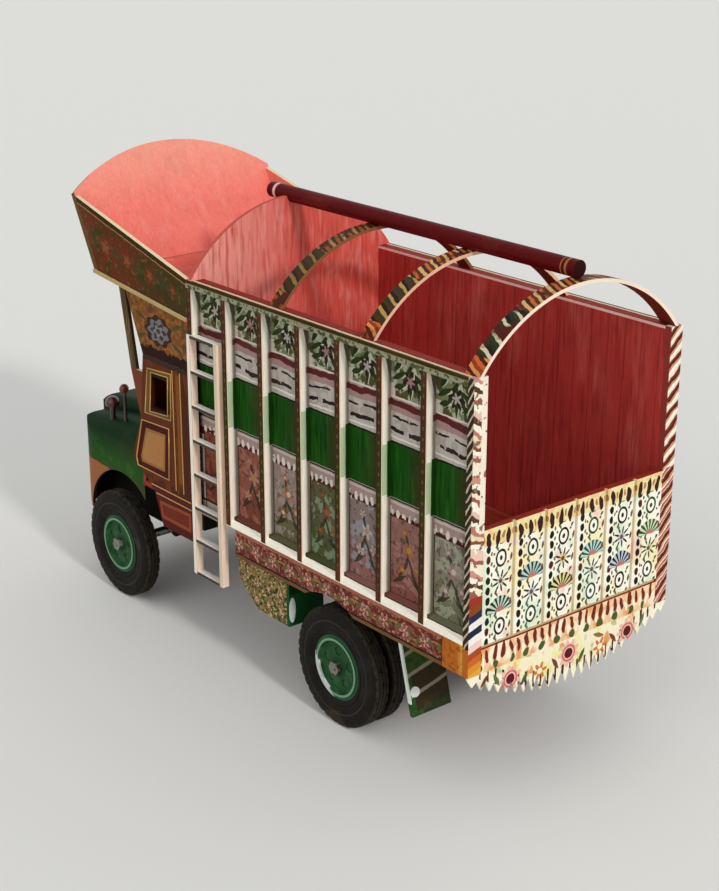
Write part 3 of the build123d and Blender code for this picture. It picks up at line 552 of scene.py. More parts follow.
def tail_boards():
    """Tailgate slats with bead chains, rings, fans and stars on cream."""
    f = Finish("tail_paint", "F6F0DE")
    _, y, z = f.wobble(0.5, 6.0)
    pitch = (2 * INNER_Y + 3.0) / 6
    u, k = copies(INNER_Y - y - (pitch - 3.0) / 2, pitch)
    odd = k % 2.0
    z0 = z - TAILGATE_LOW
    body = band(z0, 22.0, 97.0)
    on_slats = f.within(body)
    on_slats((f.noise(27.0) - 0.49) * 7.0, "D2E4C6")
    on_slats((f.noise(36.0) - 0.5) * 7.0, "F4E4B6")
    on_slats((f.noise(19.0) - 0.56) * 8.0, "EBCBB8")
    # chain of dark beads on the left of each slat
    links = 7.9
    drop, link = copies(z0 + k * 2.6, links)
    bead_at = u + 9.2 + (f.noise(9.0) - 0.5) * 3.0
    beads = "1E1A14 2A1A12 1B2A16 1E1A14 5A2016 1A1E2A 2A1A12"
    on_slats(oval(bead_at, drop, 2.1, 3.1), f.choose((link + k) % 7.0, beads))
    on_slats(oval(bead_at - 3.4, wrap(drop + 3.9, links), 0.9, 1.6), "6E6A3A")
    # column of motifs on the right: rings at the ends, a fan and a star in turn between them
    column = u - 3.0
    v, row = copies(z0 - 33.0, 17.5)
    ends = abs(row - 1.5) > 1.0
    fans, stars = abs(row - 1.0 - odd) < 0.5, abs(row - 2.0 + odd) < 0.5
    inks = f.choose(k, "2A2620 1F3A24 241E1C 2C4A44 221C1A 2A4226")
    shades = f.choose(k, "B9D0BE AFC6C8 D9CF8E B4D3C2 B7C4CC C6D6AE")
    eye = oval(column, v, 5.4, 6.8)
    on_slats(ends * eye, inks)
    on_slats(ends * oval(column, v, 3.7, 5.0), "F6F0E0")
    on_slats(ends * oval(column, v, 1.4, 2.0), inks)
    specks = dot(abs(column) - 6.8, v - 4.6, 1.0) | dot(abs(column) - 6.8, v + 4.6, 1.0)
    on_slats(ends * specks, "6A4A2C")
    rise = v + 6.5
    angle = u.math("ARCTAN2", column, rise)
    half = dot(column, rise, 12.5) * (v > -6.0)
    on_slats(fans * half, shades)
    on_slats(fans * half * (abs(wrap(angle * 10.0, 3.9)) < 0.95), inks)
    on_slats(fans * dot(column, rise, 4.5) * (v > -6.0), "B9746A")
    on_slats(stars * bloom(column, v, 8.6, 9, 0.5, 0.5), inks)
    on_slats(stars * bloom(column, v, 4.6, 6, 0.5), shades)
    on_slats(stars * dot(column, v, 1.8), "8E3A26")
    for du, dv, lean, tint in (
        (8.6, 8.2, 60, "3E4A30"), (-4.0, 8.6, 118, "5E6E4A"),
        (9.8, -1.0, 80, "6E4030"), (-4.6, -8.0, 70, "43503A"),
    ):
        on_slats(leaf(column - du, v - dv, 6.5, 2.2, lean), tint)
    on_slats((abs(abs(u) - 14.8) < 0.35) * 0.35, "A99C82")
    # yellow head strip with uneven dark strokes under an orange edge
    head = z0 > 97.0
    f.lay(head, "EBDCA4")
    f.lay(head * (f.noise(7.0) > 0.55), "E9C58C")
    uneven = (f.noise(15.0) - 0.5) * 9.0
    tick = z0 > 93.0
    f.lay(tick * oval(wrap(u + uneven, 9.6), z0 - 101.4 + uneven * 0.5, 2.3, 6.2), "3A221A")
    f.lay(tick * oval(wrap(u + 4.8 + uneven, 9.6), z0 - 103.4, 1.2, 2.8), "B07A3C")
    f.lay(head * (z0 > 110.2), "C8693C")
    # lower board: upright dark-red dashes on peach
    low = z0 < 22.0
    on_low = f.within(low)
    f.lay(low, "EEC698")
    on_low((f.noise(16.0) - 0.47) * 8.0, "E39A62")
    on_low((f.noise(21.0) - 0.53) * 8.0, "F6EACA")
    on_low(oval(wrap(u + uneven, 7.7), z0 - 13.0 + uneven, 1.8, 6.4), "6E2A1E")
    on_low(oval(wrap(u + 3.8 + uneven, 7.7), z0 - 8.0, 1.5, 4.2), "F4E8CE")
    on_low(oval(wrap(u + uneven * 1.4, 15.4), z0 - 3.6, 2.6, 3.4), "4A5A2C")
    # gaps, top edge and the red inside
    f.lay((f.face_x < -0.5) * (f.x > 1.0), "C9B88E")
    f.lay(f.face_z > 0.5, "8E2E24")
    f.lay(f.face_x > 0.5, "A3362B")
    f.strokes(0.05)
    f.wear(0.06)
    dress(f.done(0.3, (0.4, 0.6)), "tailgate")


def tail_posts():
    """Left post in small slanted marks over bright blocks, right post in rope strokes."""
    f = Finish("post_paint", "EFE6CE")
    x, y, z = f.wobble(0.6, 5.0)
    slant = count(z - y * 0.5 + (f.noise(13.0) - 0.5) * 16.0, 4.2)
    marks = (
        "EFE2C6 A8584A E9C4B0 F3ECDA 8A4A3C E6D3AC B9776A F1EAD6 5E3A2E E3BDAC "
        "F3ECDA 9A5A4C EFE2C6 4E3A2C F1EAD6 C98E7E EFE6CE"
    )
    left, right = f.y > 0.0, f.y < 0.0
    f.lay(left, f.choose(slant % 17.0, marks))
    blocks = "DDA23A D88E30 C8642A A84A26 EBC9BC F1EAE0 24283F E9E6DC 2A2E48 8A4420 9C3524"
    f.lay(left * (z > 215.0) * (y < 95.0 + f.noise(6.0) * 4.0), "EFE4CC")
    f.lay(left * (f.noise(8.0, 3.0) > 0.60), "8A6A58")
    f.lay(left * (z < 168.0), f.choose(count(z - 107.0 + (y - 98.0) * 0.3, 5.7), blocks))
    cord = wrap(z + y * 0.9 + (f.noise(14.0) - 0.5) * 8.0, 13.0)
    f.lay(right, f.choose(count(cord, 2.6) + 2.0, "7E2E22 EBDCC2 F5EEDE C98E6A 4A1A12"))
    f.lay(right * (z < 218.0) * (abs(cord + 1.5) < 1.5), "B0604E")
    side = abs(f.face_y) > 0.9
    f.lay(side, UMBER)
    hatch = abs(wrap(z + x * 1.6 + (f.noise(9.0) - 0.5) * 4.0, 8.0)) < 1.3
    f.lay(side * hatch * (z > 128.0), "B5AC92")
    f.lay(side * (z < 128.0), "B0621F")
    f.lay(side * (abs(f.y) < INNER_Y + 1.0), "943A33")
    f.strokes(0.08)
    f.wear(0.08)
    dress(f.done(0.25, (0.4, 0.6)), *both("rear_post"))


def hoop_bands():
    """Steel hoops: dark with uneven cream and orange marks and pale rear edges."""
    f = Finish("hoop_paint", "2C2014")
    x, _, _ = f.wobble(0.7, 5.0)
    rise = f.z - HOOP_CENTRE_Z
    run = f.x.math("ARCTAN2", abs(f.y), rise)
    uneven = (f.noise(9.0) - 0.5) * 5.0
    turn = count(run * HOOP_RADIUS + x * 0.5 + f.y * 0.12 + uneven, 3.2)
    low, high = run > 0.82, run < 0.46
    beat = turn % 4.0
    f.lay(1.0, f.choose(beat, "26281A 1E1A14 CFC29E 2A3420"))
    f.lay(low, f.choose(beat, "4A1A10 C8602A 8E3A1A D28A4E"))
    f.lay(high, f.choose(beat, "5A2A16 B8642C 3A1E12 D2A468"))
    f.lay((f.noise(15.0) - 0.52) * 9.0, "4E1C14")
    f.lay((f.x > 60.0) * ~low * ~high, f.choose(beat, "43301A 241A10 B08A4A 33301E"))
    f.lay((f.x > BOX_LENGTH * 0.6) * 0.5, "3A2614")
    edges = f.choose(count(f.x, BOX_LENGTH * 0.34), "F3DCC6 E6B692 8A5636")
    f.lay(f.face_x < -0.7, edges)
    f.lay(f.face_x > 0.7, OLIVE)
    inner = (f.y * f.face_y + rise * f.face_z) < -30.0
    f.lay(inner, "6E281C")
    f.strokes(0.08, (0.2, 1.0, 1.0))
    f.wear(0.08)
    dress(f.done(0.2, (0.4, 0.6)), "hoop_rear", "hoop_middle", "hoop_front")


def maroon_pole():
    """Maroon pole with a pale ring in front and thin brown rings behind."""
    f = Finish("pole_paint", "560A0C")
    f.lay((f.noise(14.0, 3.0, (0.08, 1.0, 1.0)) > 0.55) * 0.5, "74161A")
    f.lay(band(f.x, 351.0, 354.5), "E0AFA8")
    f.lay(band(f.x, 15.0, 17.0) | band(f.x, 20.0, 21.0), "9A6A3A")
    f.lay(abs(f.face_x) > 0.9, "2A0A0A")
    f.wear(0.06)
    dress(f.done(0.15, (0.35, 0.5)), "ridge_pole")


# Crown over the cab
def crown_inside(f):
    """Fine salmon strokes on what faces the load box, paler towards the top edge."""
    f.brushed(0.5, "EE988A", 13.0, -0.02, 0.45)
    f.brushed(0.4, "D6685A", 6.0, -0.02, 0.3)
    fade = (f.z - 350.0) * 0.008
    f.lay(fade.math("MINIMUM", fade, 0.42), "F2B79C")
    # Painted shade: darker towards the foot, in the corner along the deck
    f.lay((330.0 - f.z) * 0.012, "CC5A4C")


CROWN_FOOT_Z = 309.6
CROWN_LEAN = 1.133  # the board's length for each millimetre of height


def crown_front_board():
    """Leaning arched board: green field, turquoise medallion, gold borders, flowers above."""
    f = Finish("crown_front_paint", "EC7E70")
    crown_inside(f)
    _, y, z = f.wobble(0.5, 8.0)
    outside = f.face_x > 0.3
    on_front = f.within(outside)
    up = (z - CROWN_FOOT_Z) * CROWN_LEAN
    v, w = up - 33.0, up - 82.0
    u = wrap(y, 38.0)
    f.lay(outside, "2F6B33")
    on_front(f.noise(10.0) > 0.55, LEAF)
    for lean, du in ((35, -11.0), (145, 11.0), (-35, -11.0), (215, 11.0)):
        on_front(leaf(u - du, v, 17.0, 5.0, lean), BOTTLE)
    on_front(bloom(u, v, 8.5, 8, 0.0, 0.25), ORANGE)
    on_front(bloom(u, v, 5.4, 6, 1.0), YELLOW)
    on_front(dot(u, v, 2.4), MAROON)
    on_front(oval(y, v, 33.0, 23.0), YELLOW)
    on_front(oval(y, v, 31.0, 21.0), TEAL)
    for du, size in ((-17.0, 5.5), (0.0, 8.5), (17.0, 5.5)):
        on_front(bloom(y - du, v, size, 6, du), WHITE)
        on_front(dot(y - du, v, size * 0.4), BRICK)
    on_front(up < 8.0, ORANGE)
    on_front((up < 8.0) * diamond(wrap(y, 9.0), up - 4.0, 3.0, 3.2), MAROON)
    on_front(abs(y) > 94.0, ORANGE)
    on_front(band(abs(y), 92.6, 94.0), YELLOW)
    on_front(band(up, 62.0, 66.0), "E08A35")
    head = outside * (up > 72.5)
    on_arch = f.within(head)
    f.lay(head, "4A7A35")
    on_arch(f.noise(9.0) > 0.55, "6C8F3C")
    c = wrap(y, 26.0)
    on_arch(leaf(c - 8.0, w, 14.0, 4.6, 20), BOTTLE)
    on_arch(leaf(c + 8.0, w, 14.0, 4.6, 160), BOTTLE)
    on_arch(bloom(c, w, 7.6, 7, 0.4), BRICK)
    on_arch(bloom(c, w, 4.4, 5, 0.4), ORANGE)
    on_arch(dot(c, w, 1.6), YELLOW)
    on_front(band(up, 66.0, 72.5), GOLD)
    f.lay((f.face_z > 0.55) * (f.face_x < 0.3), "EFC9A4")
    f.lay(abs(f.face_y) > 0.75, "5E4A22")
    f.strokes(0.08, (1.0, 1.0, 0.15))
    f.wear(0.10, 0.02)
    dress(f.done(0.25, (0.38, 0.6)), "crown_front")


def crown_sides():
    """Olive-brown sides with leaves and red flowers, pale top edges, salmon inside."""
    f = Finish("crown_side_paint", "E2766A")
    crown_inside(f)
    x, _, z = f.wobble(0.9, 6.0)
    outside = abs(f.y) > SIDE_Y - 0.4
    on_side = f.within(outside)
    ahead = x - BOX_LENGTH
    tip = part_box("crown_side_left")[1]
    rise = (tip.z * 1000 - BOX_TOP) / (tip.x * 1000 - TAIL_X - BOX_LENGTH)
    under = ahead * rise + BOX_TOP - z
    f.lay(outside, "40300E")
    on_side((ahead - 30.0) * 0.016, "5E2A0C")
    on_side((f.noise(11.0, 3.0) - 0.5) * 6.0, "33340F")
    on_side((f.noise(5.0, 3.0) > 0.62) * 0.5, "7A5A2A")
    u, k = copies(ahead - 20.0, 34.0)
    size = ahead * 0.06 + 6.0
    middle = z - 311.0 - ahead * 0.1765
    for lean, du, dv in ((25, -11, 0), (155, 11, 0), (-50, -6, 3), (230, 6, -3), (80, 15, 2)):
        on_side(leaf(u - du, middle - dv, 14.0, 3.6, lean) * 0.7, "36401A")
    on_side(bloom(u / size, middle / size, 1.0, 6, k * 1.4) * 0.55, "7A2410")
    on_side(bloom(u / size, middle / size, 0.5, 5, k * 1.4) * 0.5, "8E5A2C")
    on_side(under < 4.4, "33240C")
    on_side(band(under, 4.4, 5.3), "A07A3C")
    f.lay(f.face_z > 0.5, "E6CFA4")
    f.strokes(0.10)
    f.wear(0.12)
    dress(f.done(0.25, (0.4, 0.62)), *both("crown_side"))


def crown_floor():
    """Salmon deck with a dull gold edge that shows as a ledge."""
    f = Finish("crown_deck_paint", "DE6E60")
    crown_inside(f)
    edge = (abs(f.face_y) > 0.7) | (f.face_x > 0.7)
    f.lay(f.face_z < -0.5, "5E3A1E")
    f.lay((f.face_z > 0.5) * (abs(f.y) > SIDE_Y), "CDB98C")
    f.lay(edge, "B49A68")
    f.strokes(0.10, (0.15, 1.0, 1.0))
    f.wear(0.12)
    dress(f.done(0.25, (0.4, 0.65)), "crown_deck")


def forehead():
    """Brown sides with a grey-blue flower, and painted boards over the windscreen."""
    f = Finish("forehead_side_paint", "7A4A1E")
    x, _, z = f.wobble(0.6, 6.0)
    mottle = f.noise(5.0, 4.0)
    f.lay((mottle > 0.54) * 0.8, "8E6030")
    f.lay((f.noise(8.0, 4.0) > 0.57) * 0.7, "4A3620")
    u, v = (x - 385.0) * 0.66, z - 275.0
    f.lay(bloom(u, v, 14.0, 9, 0.0, 0.08), "3A2214")
    f.lay(bloom(u, v, 11.0, 7, 0.4, 0.12), "6E6868")
    f.lay(bloom(u, v, 8.0, 6, 0.0, 0.2), "3A3236")
    f.lay(bloom(u, v, 5.4, 5, 0.9, 0.2), "7E7678")
    f.lay(dot(u, v, 2.2), "4A3A34")
    for lean, du, dv in ((30, 18, 9), (150, -18, 9), (-30, 18, -9), (210, -18, -9)):
        f.lay(leaf(u - du, v - dv, 13.0, 3.4, lean), "4E4420")
    drips = z - mottle * 12.0
    f.lay(drips < 253.0, "260A02")
    f.lay(band(z, 248.6, 250.0), "7E5228")
    f.lay(f.z < 248.0, "3A1C0E")
    f.strokes(0.10)
    f.wear(0.12)
    dress(f.done(0.25, (0.35, 0.6)), *both("forehead_side"))
    f = Finish("forehead_front_paint", "D9B56A")
    _, y, z = f.wobble(0.5, 7.0)
    u, k = copies(y, 25.0)
    k = k + 4.0
    f.blotches(30.0, 0.5, "C98E5A", 2.0)
    grounds = [YELLOW, ROSE, LEAF, BLUSH, LILAC, BLUSH, LEAF, ROSE, YELLOW]
    f.lay((abs(u) < 11.0) * band(z, 256.0, 294.0), f.choose(k, grounds))
    for lean, du in ((45, -5.0), (135, 5.0), (90, 0.0)):
        f.lay(leaf(u - du, z - 268.0, 17.0, 4.0, lean), BOTTLE)
    petals = [BRICK, WHITE, ORANGE, MAROON, WHITE, MAROON, ORANGE, WHITE, BRICK]
    f.lay(bloom(u, z - 278.0, 7.0, 6, k), f.choose(k, petals))
    f.lay(dot(u, z - 278.0, 2.2), YELLOW)
    f.lay(abs(abs(u) - 11.6) < 0.7, UMBER)
    foot = z < 256.0
    f.lay(foot, BRICK)
    f.lay(foot * diamond(wrap(y, 7.0), z - 253.0, 2.6, 2.2), WHITE)
    f.strokes(0.08)
    f.wear(0.10)
    dress(f.done(0.25, (0.3, 0.55)), "forehead_front")


def wing_strips():
    """Dark strips from the crown's ledge to a pale shelf at the foot."""
    f = Finish("wing_paint", "4E3E24")
    f.lay(f.noise(7.0, 2.0, (1.0, 1.0, 0.15)) > 0.55, "625030")
    f.lay(f.face_x < -0.3, "33241A")
    f.lay(f.face_x > 0.5, BOTTLE)
    shelf = f.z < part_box("wing_left")[0].z * 1000 + 43.0
    f.lay(shelf, "6E3A22")
    f.lay((f.face_z > 0.6) * shelf, "E9DFC6")
    f.strokes(0.10)
    f.wear(0.10)
    dress(f.done(0.25, (0.4, 0.62)), *both("wing"))


# Cab, with the corners of what is painted on its sides in x and z
WINDOW_HOLE = [(397.5, 234.5), (375.0, 236.0), (377.0, 204.5), (401.5, 201.5)]
WINDOW_FRAME = [(404.5, 238.5), (368.5, 241.5), (370.5, 200.0), (411.0, 197.0)]
PANEL_FRAME = [(416.5, 189.0), (374.5, 191.5), (377.0, 144.5), (426.0, 144.5), (428.0, 152.0)]
PANEL_TAN = [(411.0, 183.0), (380.5, 184.5), (383.5, 150.0), (419.5, 149.5), (421.0, 154.0)]
SKIRT_BOX = [(394.0, 121.0), (346.0, 122.5), (346.0, 105.5), (391.0, 105.5)]


def grown(corners, margin):
    """Corners moved out from their middle, or in by a negative margin."""
    us, vs = zip(*corners)
    middle_u, middle_v = (min(us) + max(us)) / 2, (min(vs) + max(vs)) / 2
    return [
        (u + (margin if u > middle_u else -margin), v + (margin if v > middle_v else -margin))
        for u, v in corners
    ]


def cab_sides():
    """Doors framed in dull gold on dark rust, a tan door panel and a red skirt."""
    f = Finish("cab_side_paint", "4C1F08")
    x, _, z = f.wobble(0.25, 8.0)
    f.lay((f.noise(10.0, 4.0, (1.0, 1.0, 0.25)) > 0.54) * 0.7, "6A3410")
    f.lay((f.noise(5.0, 4.0) > 0.58) * 0.5, "3E2214")
    f.lay(band(x, 368.0, 430.0) * band(z, 140.0, 245.0) * 0.7, "602C0E")
    f.lay(band(x, 356.0, 362.0) * band(z, 146.0, 243.0), "7C4418")
    f.lay(poly(x, z, WINDOW_FRAME), "6A4E22")
    f.lay(poly(x, z, grown(WINDOW_HOLE, 1.8)), "1E0E06")
    f.lay(poly(x, z, PANEL_FRAME), "420E04")
    f.lay(poly(x, z, PANEL_TAN), "946436")
    f.lay(poly(x, z, grown(PANEL_TAN, -2.6)), "A67440")
    f.lay(z < 132.0, "521A12")
    f.lay(z < 104.0, "4A160C")
    f.lay(poly(x, z, SKIRT_BOX), "8A4226")
    f.lay(poly(x, z, grown(SKIRT_BOX, -3.0)), "6C261A")
    f.lay(f.z > 246.0, UMBER)
    f.lay(abs(f.y) < SIDE_Y - 0.5, "3E1810")
    f.strokes(0.06, (1.0, 1.0, 0.25))
    f.wear(0.10)
    dress(f.done(0.2, (0.35, 0.55)), *both("cab_side"))


def cab_front_wall():
    """Striped slats beside the windscreen: white, red, black and green in turn."""
    f = Finish("cab_front_paint", "6F2218")
    _, y, z = f.wobble(0.3, 6.0)
    across, k = copies(abs(y) - 70.75, 7.5)
    raised = abs(across) < 1.9
    stripes = [BRICK, WHITE, MAROON, WHITE, BRICK, GREEN]
    k = k + 1.0
    block = count(z + k * 4.0, 9.0)
    slats = abs(y) > 67.0
    f.lay(raised * slats, f.choose((block + k) % 6.0, stripes))
    f.lay(~raised * slats, UMBER)
    f.lay(f.face_x < -0.5, "5A1A12")
    f.strokes(0.08)
    f.wear(0.10, 0.02, UMBER)
    dress(f.done(0.25, (0.3, 0.5)), "cab_front", "cab_back", "cab_roof")


def screen():
    """Pale blue frame with dark diamonds along its head, and grey-green glass in it."""
    f = Finish("screen_frame_paint", "B9CCD4", metal=0.3)
    _, y, z = f.wobble(0.3, 6.0)
    f.blotches(8.0, 0.55, "D3DDE0", 2.0)
    head = z > 240.0
    f.lay(head * diamond(wrap(y, 6.4), z - 242.6, 2.4, 1.9), NAVY)
    f.lay(head * dot(wrap(y + 3.2, 6.4), z - 242.6, 0.8), BRICK)
    f.wear(0.08, 0.02, UMBER)
    dress(f.done(0.2, (0.15, 0.35), 0.4), "windscreen_frame")
    glass = Finish("windscreen_glass", "7E948E", rough=0.06, shine=0.5)
    glass.lay(glass.noise(30.0) * 0.3, "4C6058")
    glass.shader.inputs["Transmission Weight"].default_value = 0.85
    glass.shader.inputs["IOR"].default_value = 1.45
    dress(glass.done(0.03, (0.04, 0.12)), "windscreen")


# Nose
def nose():
    """Deep green tops, darkened as a painted reflection, over yellower green sides, copper in front
    of the wheels.
    """
    f = Finish("nose_paint", "1C4A0E", shine=0.06)
    x, _, z = f.wobble(1.6, 14.0)
    f.lay((f.noise(16.0, 3.0) > 0.55) * 0.4, "35601F")
    # Painted reflection: darker towards the tops, as if a dark sky showed in the gloss
    f.lay((z - 128.0) * 0.04, "032608")
    line = z - 120.0 + (520.0 - x) * 0.05
    f.lay((line < 2.0) * 0.8, "3A3C1C")
    ahead = x > 494.0
    front = (line < 0.0) * ahead
    f.lay(front, "965E36")
    f.lay(front * (f.noise(20.0, 3.0) - 0.5) * 4.0, "7A4E2E")
    f.lay((f.z < 75.5) * ahead, "B08450")
    # Painted shade: faces turned inward and the bonnet's walls under the fenders in near-black
    inward_shade = ((f.y * f.face_y) < -0.3) | (f.face_z < -0.3) | (f.face_x < -0.3)
    hidden_shade = (abs(f.y) < 66.0) * (abs(f.face_y) > 0.9) * (f.z < 152.0)
    f.lay(inward_shade | hidden_shade, INK)
    f.wear(0.06)
    dress(f.done(0.1, (0.45, 0.6)), "bonnet", *both("fender"))


def bright_parts():
    """Stamped grille and bumper in brassy metal with dark hollows."""
    f = Finish("bright_metal", "C9AE74", rough=0.25, metal=1.0)
    f.blotches(9.0, 0.6, "A98850")
    u, v = wrap(f.y, 7.0), f.z - 59.0
    f.lay(dot(u, wrap(v, 14.0), 2.2) * band(v, -5.0, 5.0), "E6D6A8")
    f.lay(ring(u, v, 2.6, 0.8), "6E5428")
    dress(f.done(0.25, (0.18, 0.42)), "bumper")
    f = Finish("grille_metal", "C6A767", rough=0.25, metal=1.0)
    f.lay(f.x < ends_x("grille")[0] + 1.4, "2A2014")
    f.blotches(9.0, 0.58, "A98850")
    dress(f.done(0.2, (0.15, 0.4)), "grille")


def lamps():
    """Ribbed headlamps, red lamps on the fenders and amber ones behind them."""
    f = Finish("headlamp_lens", "E4E2D4", rough=0.08, shine=0.5)
    f.lay(f.x < ends_x("headlamps")[0] + 2.2, "CDB27A")
    f.shader.inputs["Transmission Weight"].default_value = 0.4
    ribs = f.y.math("SINE", f.y * 3.4)
    dress(f.done(0.3, (0.05, 0.12), 0.3, ribs), "headlamps")
    f = Finish("fender_lamp_red", "4A0A0C", rough=0.2, shine=0.4)
    f.lay(f.z < 172.0, "1E100C")
    dress(f.done(0.05, (0.15, 0.3), 0.4), "fender_lamps")
    f = Finish("corner_lamp_paint", "66301A", rough=0.25, shine=0.4)
    f.lay(f.x > ends_x("corner_lamps")[1] - 2.6, "D9A878")
    f.lay(f.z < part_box("corner_lamps")[1].z * 1000 - 9.0, "2A1A0E")
    dress(f.done(0.05, (0.2, 0.35), 0.3), "corner_lamps")


# Below the body
def running_gear():
    """Black chassis with rust and bare steel axles."""
    f = Finish("frame_black", "1B1A18", rough=0.55)
    f.blotches(12.0, 0.58, "3A2A20")
    f.wear(0.30, 0.04, "5A3A28")
    dress(f.done(0.3, (0.45, 0.7)), "chassis")
    f = Finish("axle_steel", "8E8C86", rough=0.35, metal=1.0)
    f.blotches(6.0, 0.57, "5C4A3C")
    dress(f.done(0.25, (0.3, 0.55)), "front_axle", "rear_axle")


def toolbox_flowers():
    """Olive box with small flowers and a silver patch low on its rear end."""
    f = Finish("toolbox_paint", "7E6A3E")
    x, y, z = f.wobble(0.8, 5.0)
    outside = f.face_y > 0.5
    on_side = f.within(outside)
    u, v = wrap(x - 216.0 - 11.0, 17.0), wrap(z - 73.0, 15.0)
    f.blotches(4.0, 0.53, "94794A")
    f.blotches(6.0, 0.57, "5A5A2E")
    on_side(leaf(u - 5.0, v - 1.0, 9.0, 3.0, 40), "46552A")
    on_side(leaf(u + 5.0, v + 2.0, 9.0, 3.0, 140), "46552A")
    on_side(bloom(u, v, 4.8, 5, 0.6) * 0.85, "8A4A34")
    on_side(bloom(u, v, 2.8, 5, 0.6), "BFA084")
    on_side(f.noise(3.0, 3.0) > 0.56, "38290F")
    on_side(f.noise(2.4, 3.0) > 0.60, "BDAE82")
    on_side(z > 106.0, "3A3A1C")
    on_side(x < 219.5, "1C4A22")
    rear = f.face_x < -0.5
    f.lay(rear, "1C4A26")
    f.lay(rear * (z > 92.0), BOTTLE)
    f.lay(rear * oval(y - 96.0, z - 78.0, 3.4, 11.0), "D5DCD6")
    f.lay(f.face_z < -0.4, OLIVE)
    f.strokes(0.1, (1.0, 1.0, 0.3))
    f.wear(0.14)
    dress(f.done(0.3, (0.4, 0.62)), "toolbox_left")


def ladder_paint():
    """Cream stiles with painted light and shade: treads pale on top and dark outside and underneath,
    rear faces pale, fronts dark.
    """
    f = Finish("ladder_paint", "E9E2CE")
    low, high = ends_x("ladder_left")
    stile = 4.2
    tread = band(f.x, low + stile, high - stile)
    f.brushed(1.0, WHITE, 7.0)
    # Painted light and shade: pale rear faces and tops, greyer outsides, dark tread outsides, fronts
    # and undersides
    f.lay(f.face_x < -0.7, "F6D9C2")
    outside = f.face_y > 0.7
    f.lay(outside, "D3C2A8")
    f.lay(outside * (f.x > high - stile), "E8E2D2")
    f.lay(outside * tread, "4A3E30")
    f.lay(f.face_z > 0.7, "F4F0E4")
    f.lay(f.face_z < -0.7, "241A12")
    f.lay(f.face_x > 0.7, "8A7866")
    f.strokes(0.08, (1.0, 1.0, 0.15))
    f.wear(0.10)
    dress(f.done(0.3, (0.45, 0.65)), "ladder_left")


def mud_flaps():
    """Green flaps, brown in the middle, with a pale outer edge, a blob and slanted lines."""
    f = Finish("flap_rubber", "1E4A20", rough=0.6)
    _, y, z = f.wobble(0.6, 6.0)
    f.blotches(6.0, 0.55, "3E4C1E")
    middle = z + abs(y) * 0.2
    f.lay(band(middle, 62.0, 90.0) * (abs(y) < 88.0) * 0.85, "36241A")
    f.lay((middle < 62.0) * (abs(y) < 82.0) * 0.7, "26201A")
    f.lay((abs(wrap(middle - 10.3, 16.0)) < 1.4) * (z > 52.0) * 0.8, "9A8E76")
    f.lay((abs(y) > 91.6) * (z > 51.0), "D3D8CC")
    f.lay(oval(abs(y) - 87.0, z - 59.0, 4.6, 4.0), "E2E6DC")
    f.wear(0.2)
    dress(f.done(0.25, (0.45, 0.7)), *both("mud_flap"))


def tail_apron():
    """Cream apron under the tailgate: pink roundels, green blotches and ticked tongues."""
    f = Finish("fringe_paint", "F0E6C6")
    _, y, z = f.wobble(0.6, 5.0)
    bow = z - y * y * 0.0034
    f.lay((f.noise(17.0) - 0.5) * 8.0, "EADF92")
    f.lay((f.noise(13.0) - 0.57) * 12.0, "A9B472")
    f.lay((f.noise(11.0) - 0.60) * 14.0, "DC9A5A")
    tongue = wrap(y, 7.7)
    f.lay((bow < 82.0) * 0.8, "F4ECD2")
    f.lay(band(bow, 73.0, 86.0) * (abs(tongue) < f.noise(9.0) * 1.9), "4A3020")
    for middle, level, lean, tint in (
        (76, 96, 60, "5E6E3E"), (48, 88, 125, "4A5E34"), (16, 90, 55, "6E4030"),
        (-12, 88, 120, "4A5E34"), (-46, 92, 50, "7E3A28"), (-78, 97, 115, "5E6E3E"),
        (88, 99, 130, "7E3A28"), (-30, 99, 20, "8E6A3C"),
    ):
        f.lay(leaf(y - middle, z - level, 13.0, 3.6, lean), tint)
    for middle in (32.0, -32.0):
        f.lay(bloom(y - middle, z - 89.0, 7.5, 6, 0.8), "C9743A")
        f.lay(dot(y - middle, z - 89.0, 2.6), "F2E6C0")
    for middle, level in ((62.0, 92.5), (2.0, 94.0), (-62.0, 92.5)):
        f.lay(bloom(y - middle, z - level, 11.5, 9, 0.0, 0.18), "E8B4A8")
        f.lay(ring(y - middle, z - level, 6.2, 1.6), "C8705E")
        f.lay(dot(y - middle, z - level, 4.2), "571C1E")
    f.lay(f.face_x > 0.5, "8A6A4A")
    f.strokes(0.06, (1.0, 1.0, 0.3))
    f.wear(0.08)
    dress(f.done(0.25, (0.4, 0.6)), "tail_fringe")


def axle_x(name):
    """How far from the tail a wheel's middle is."""
    low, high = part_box(name)
    return (low.x + high.x) * 500 - TAIL_X


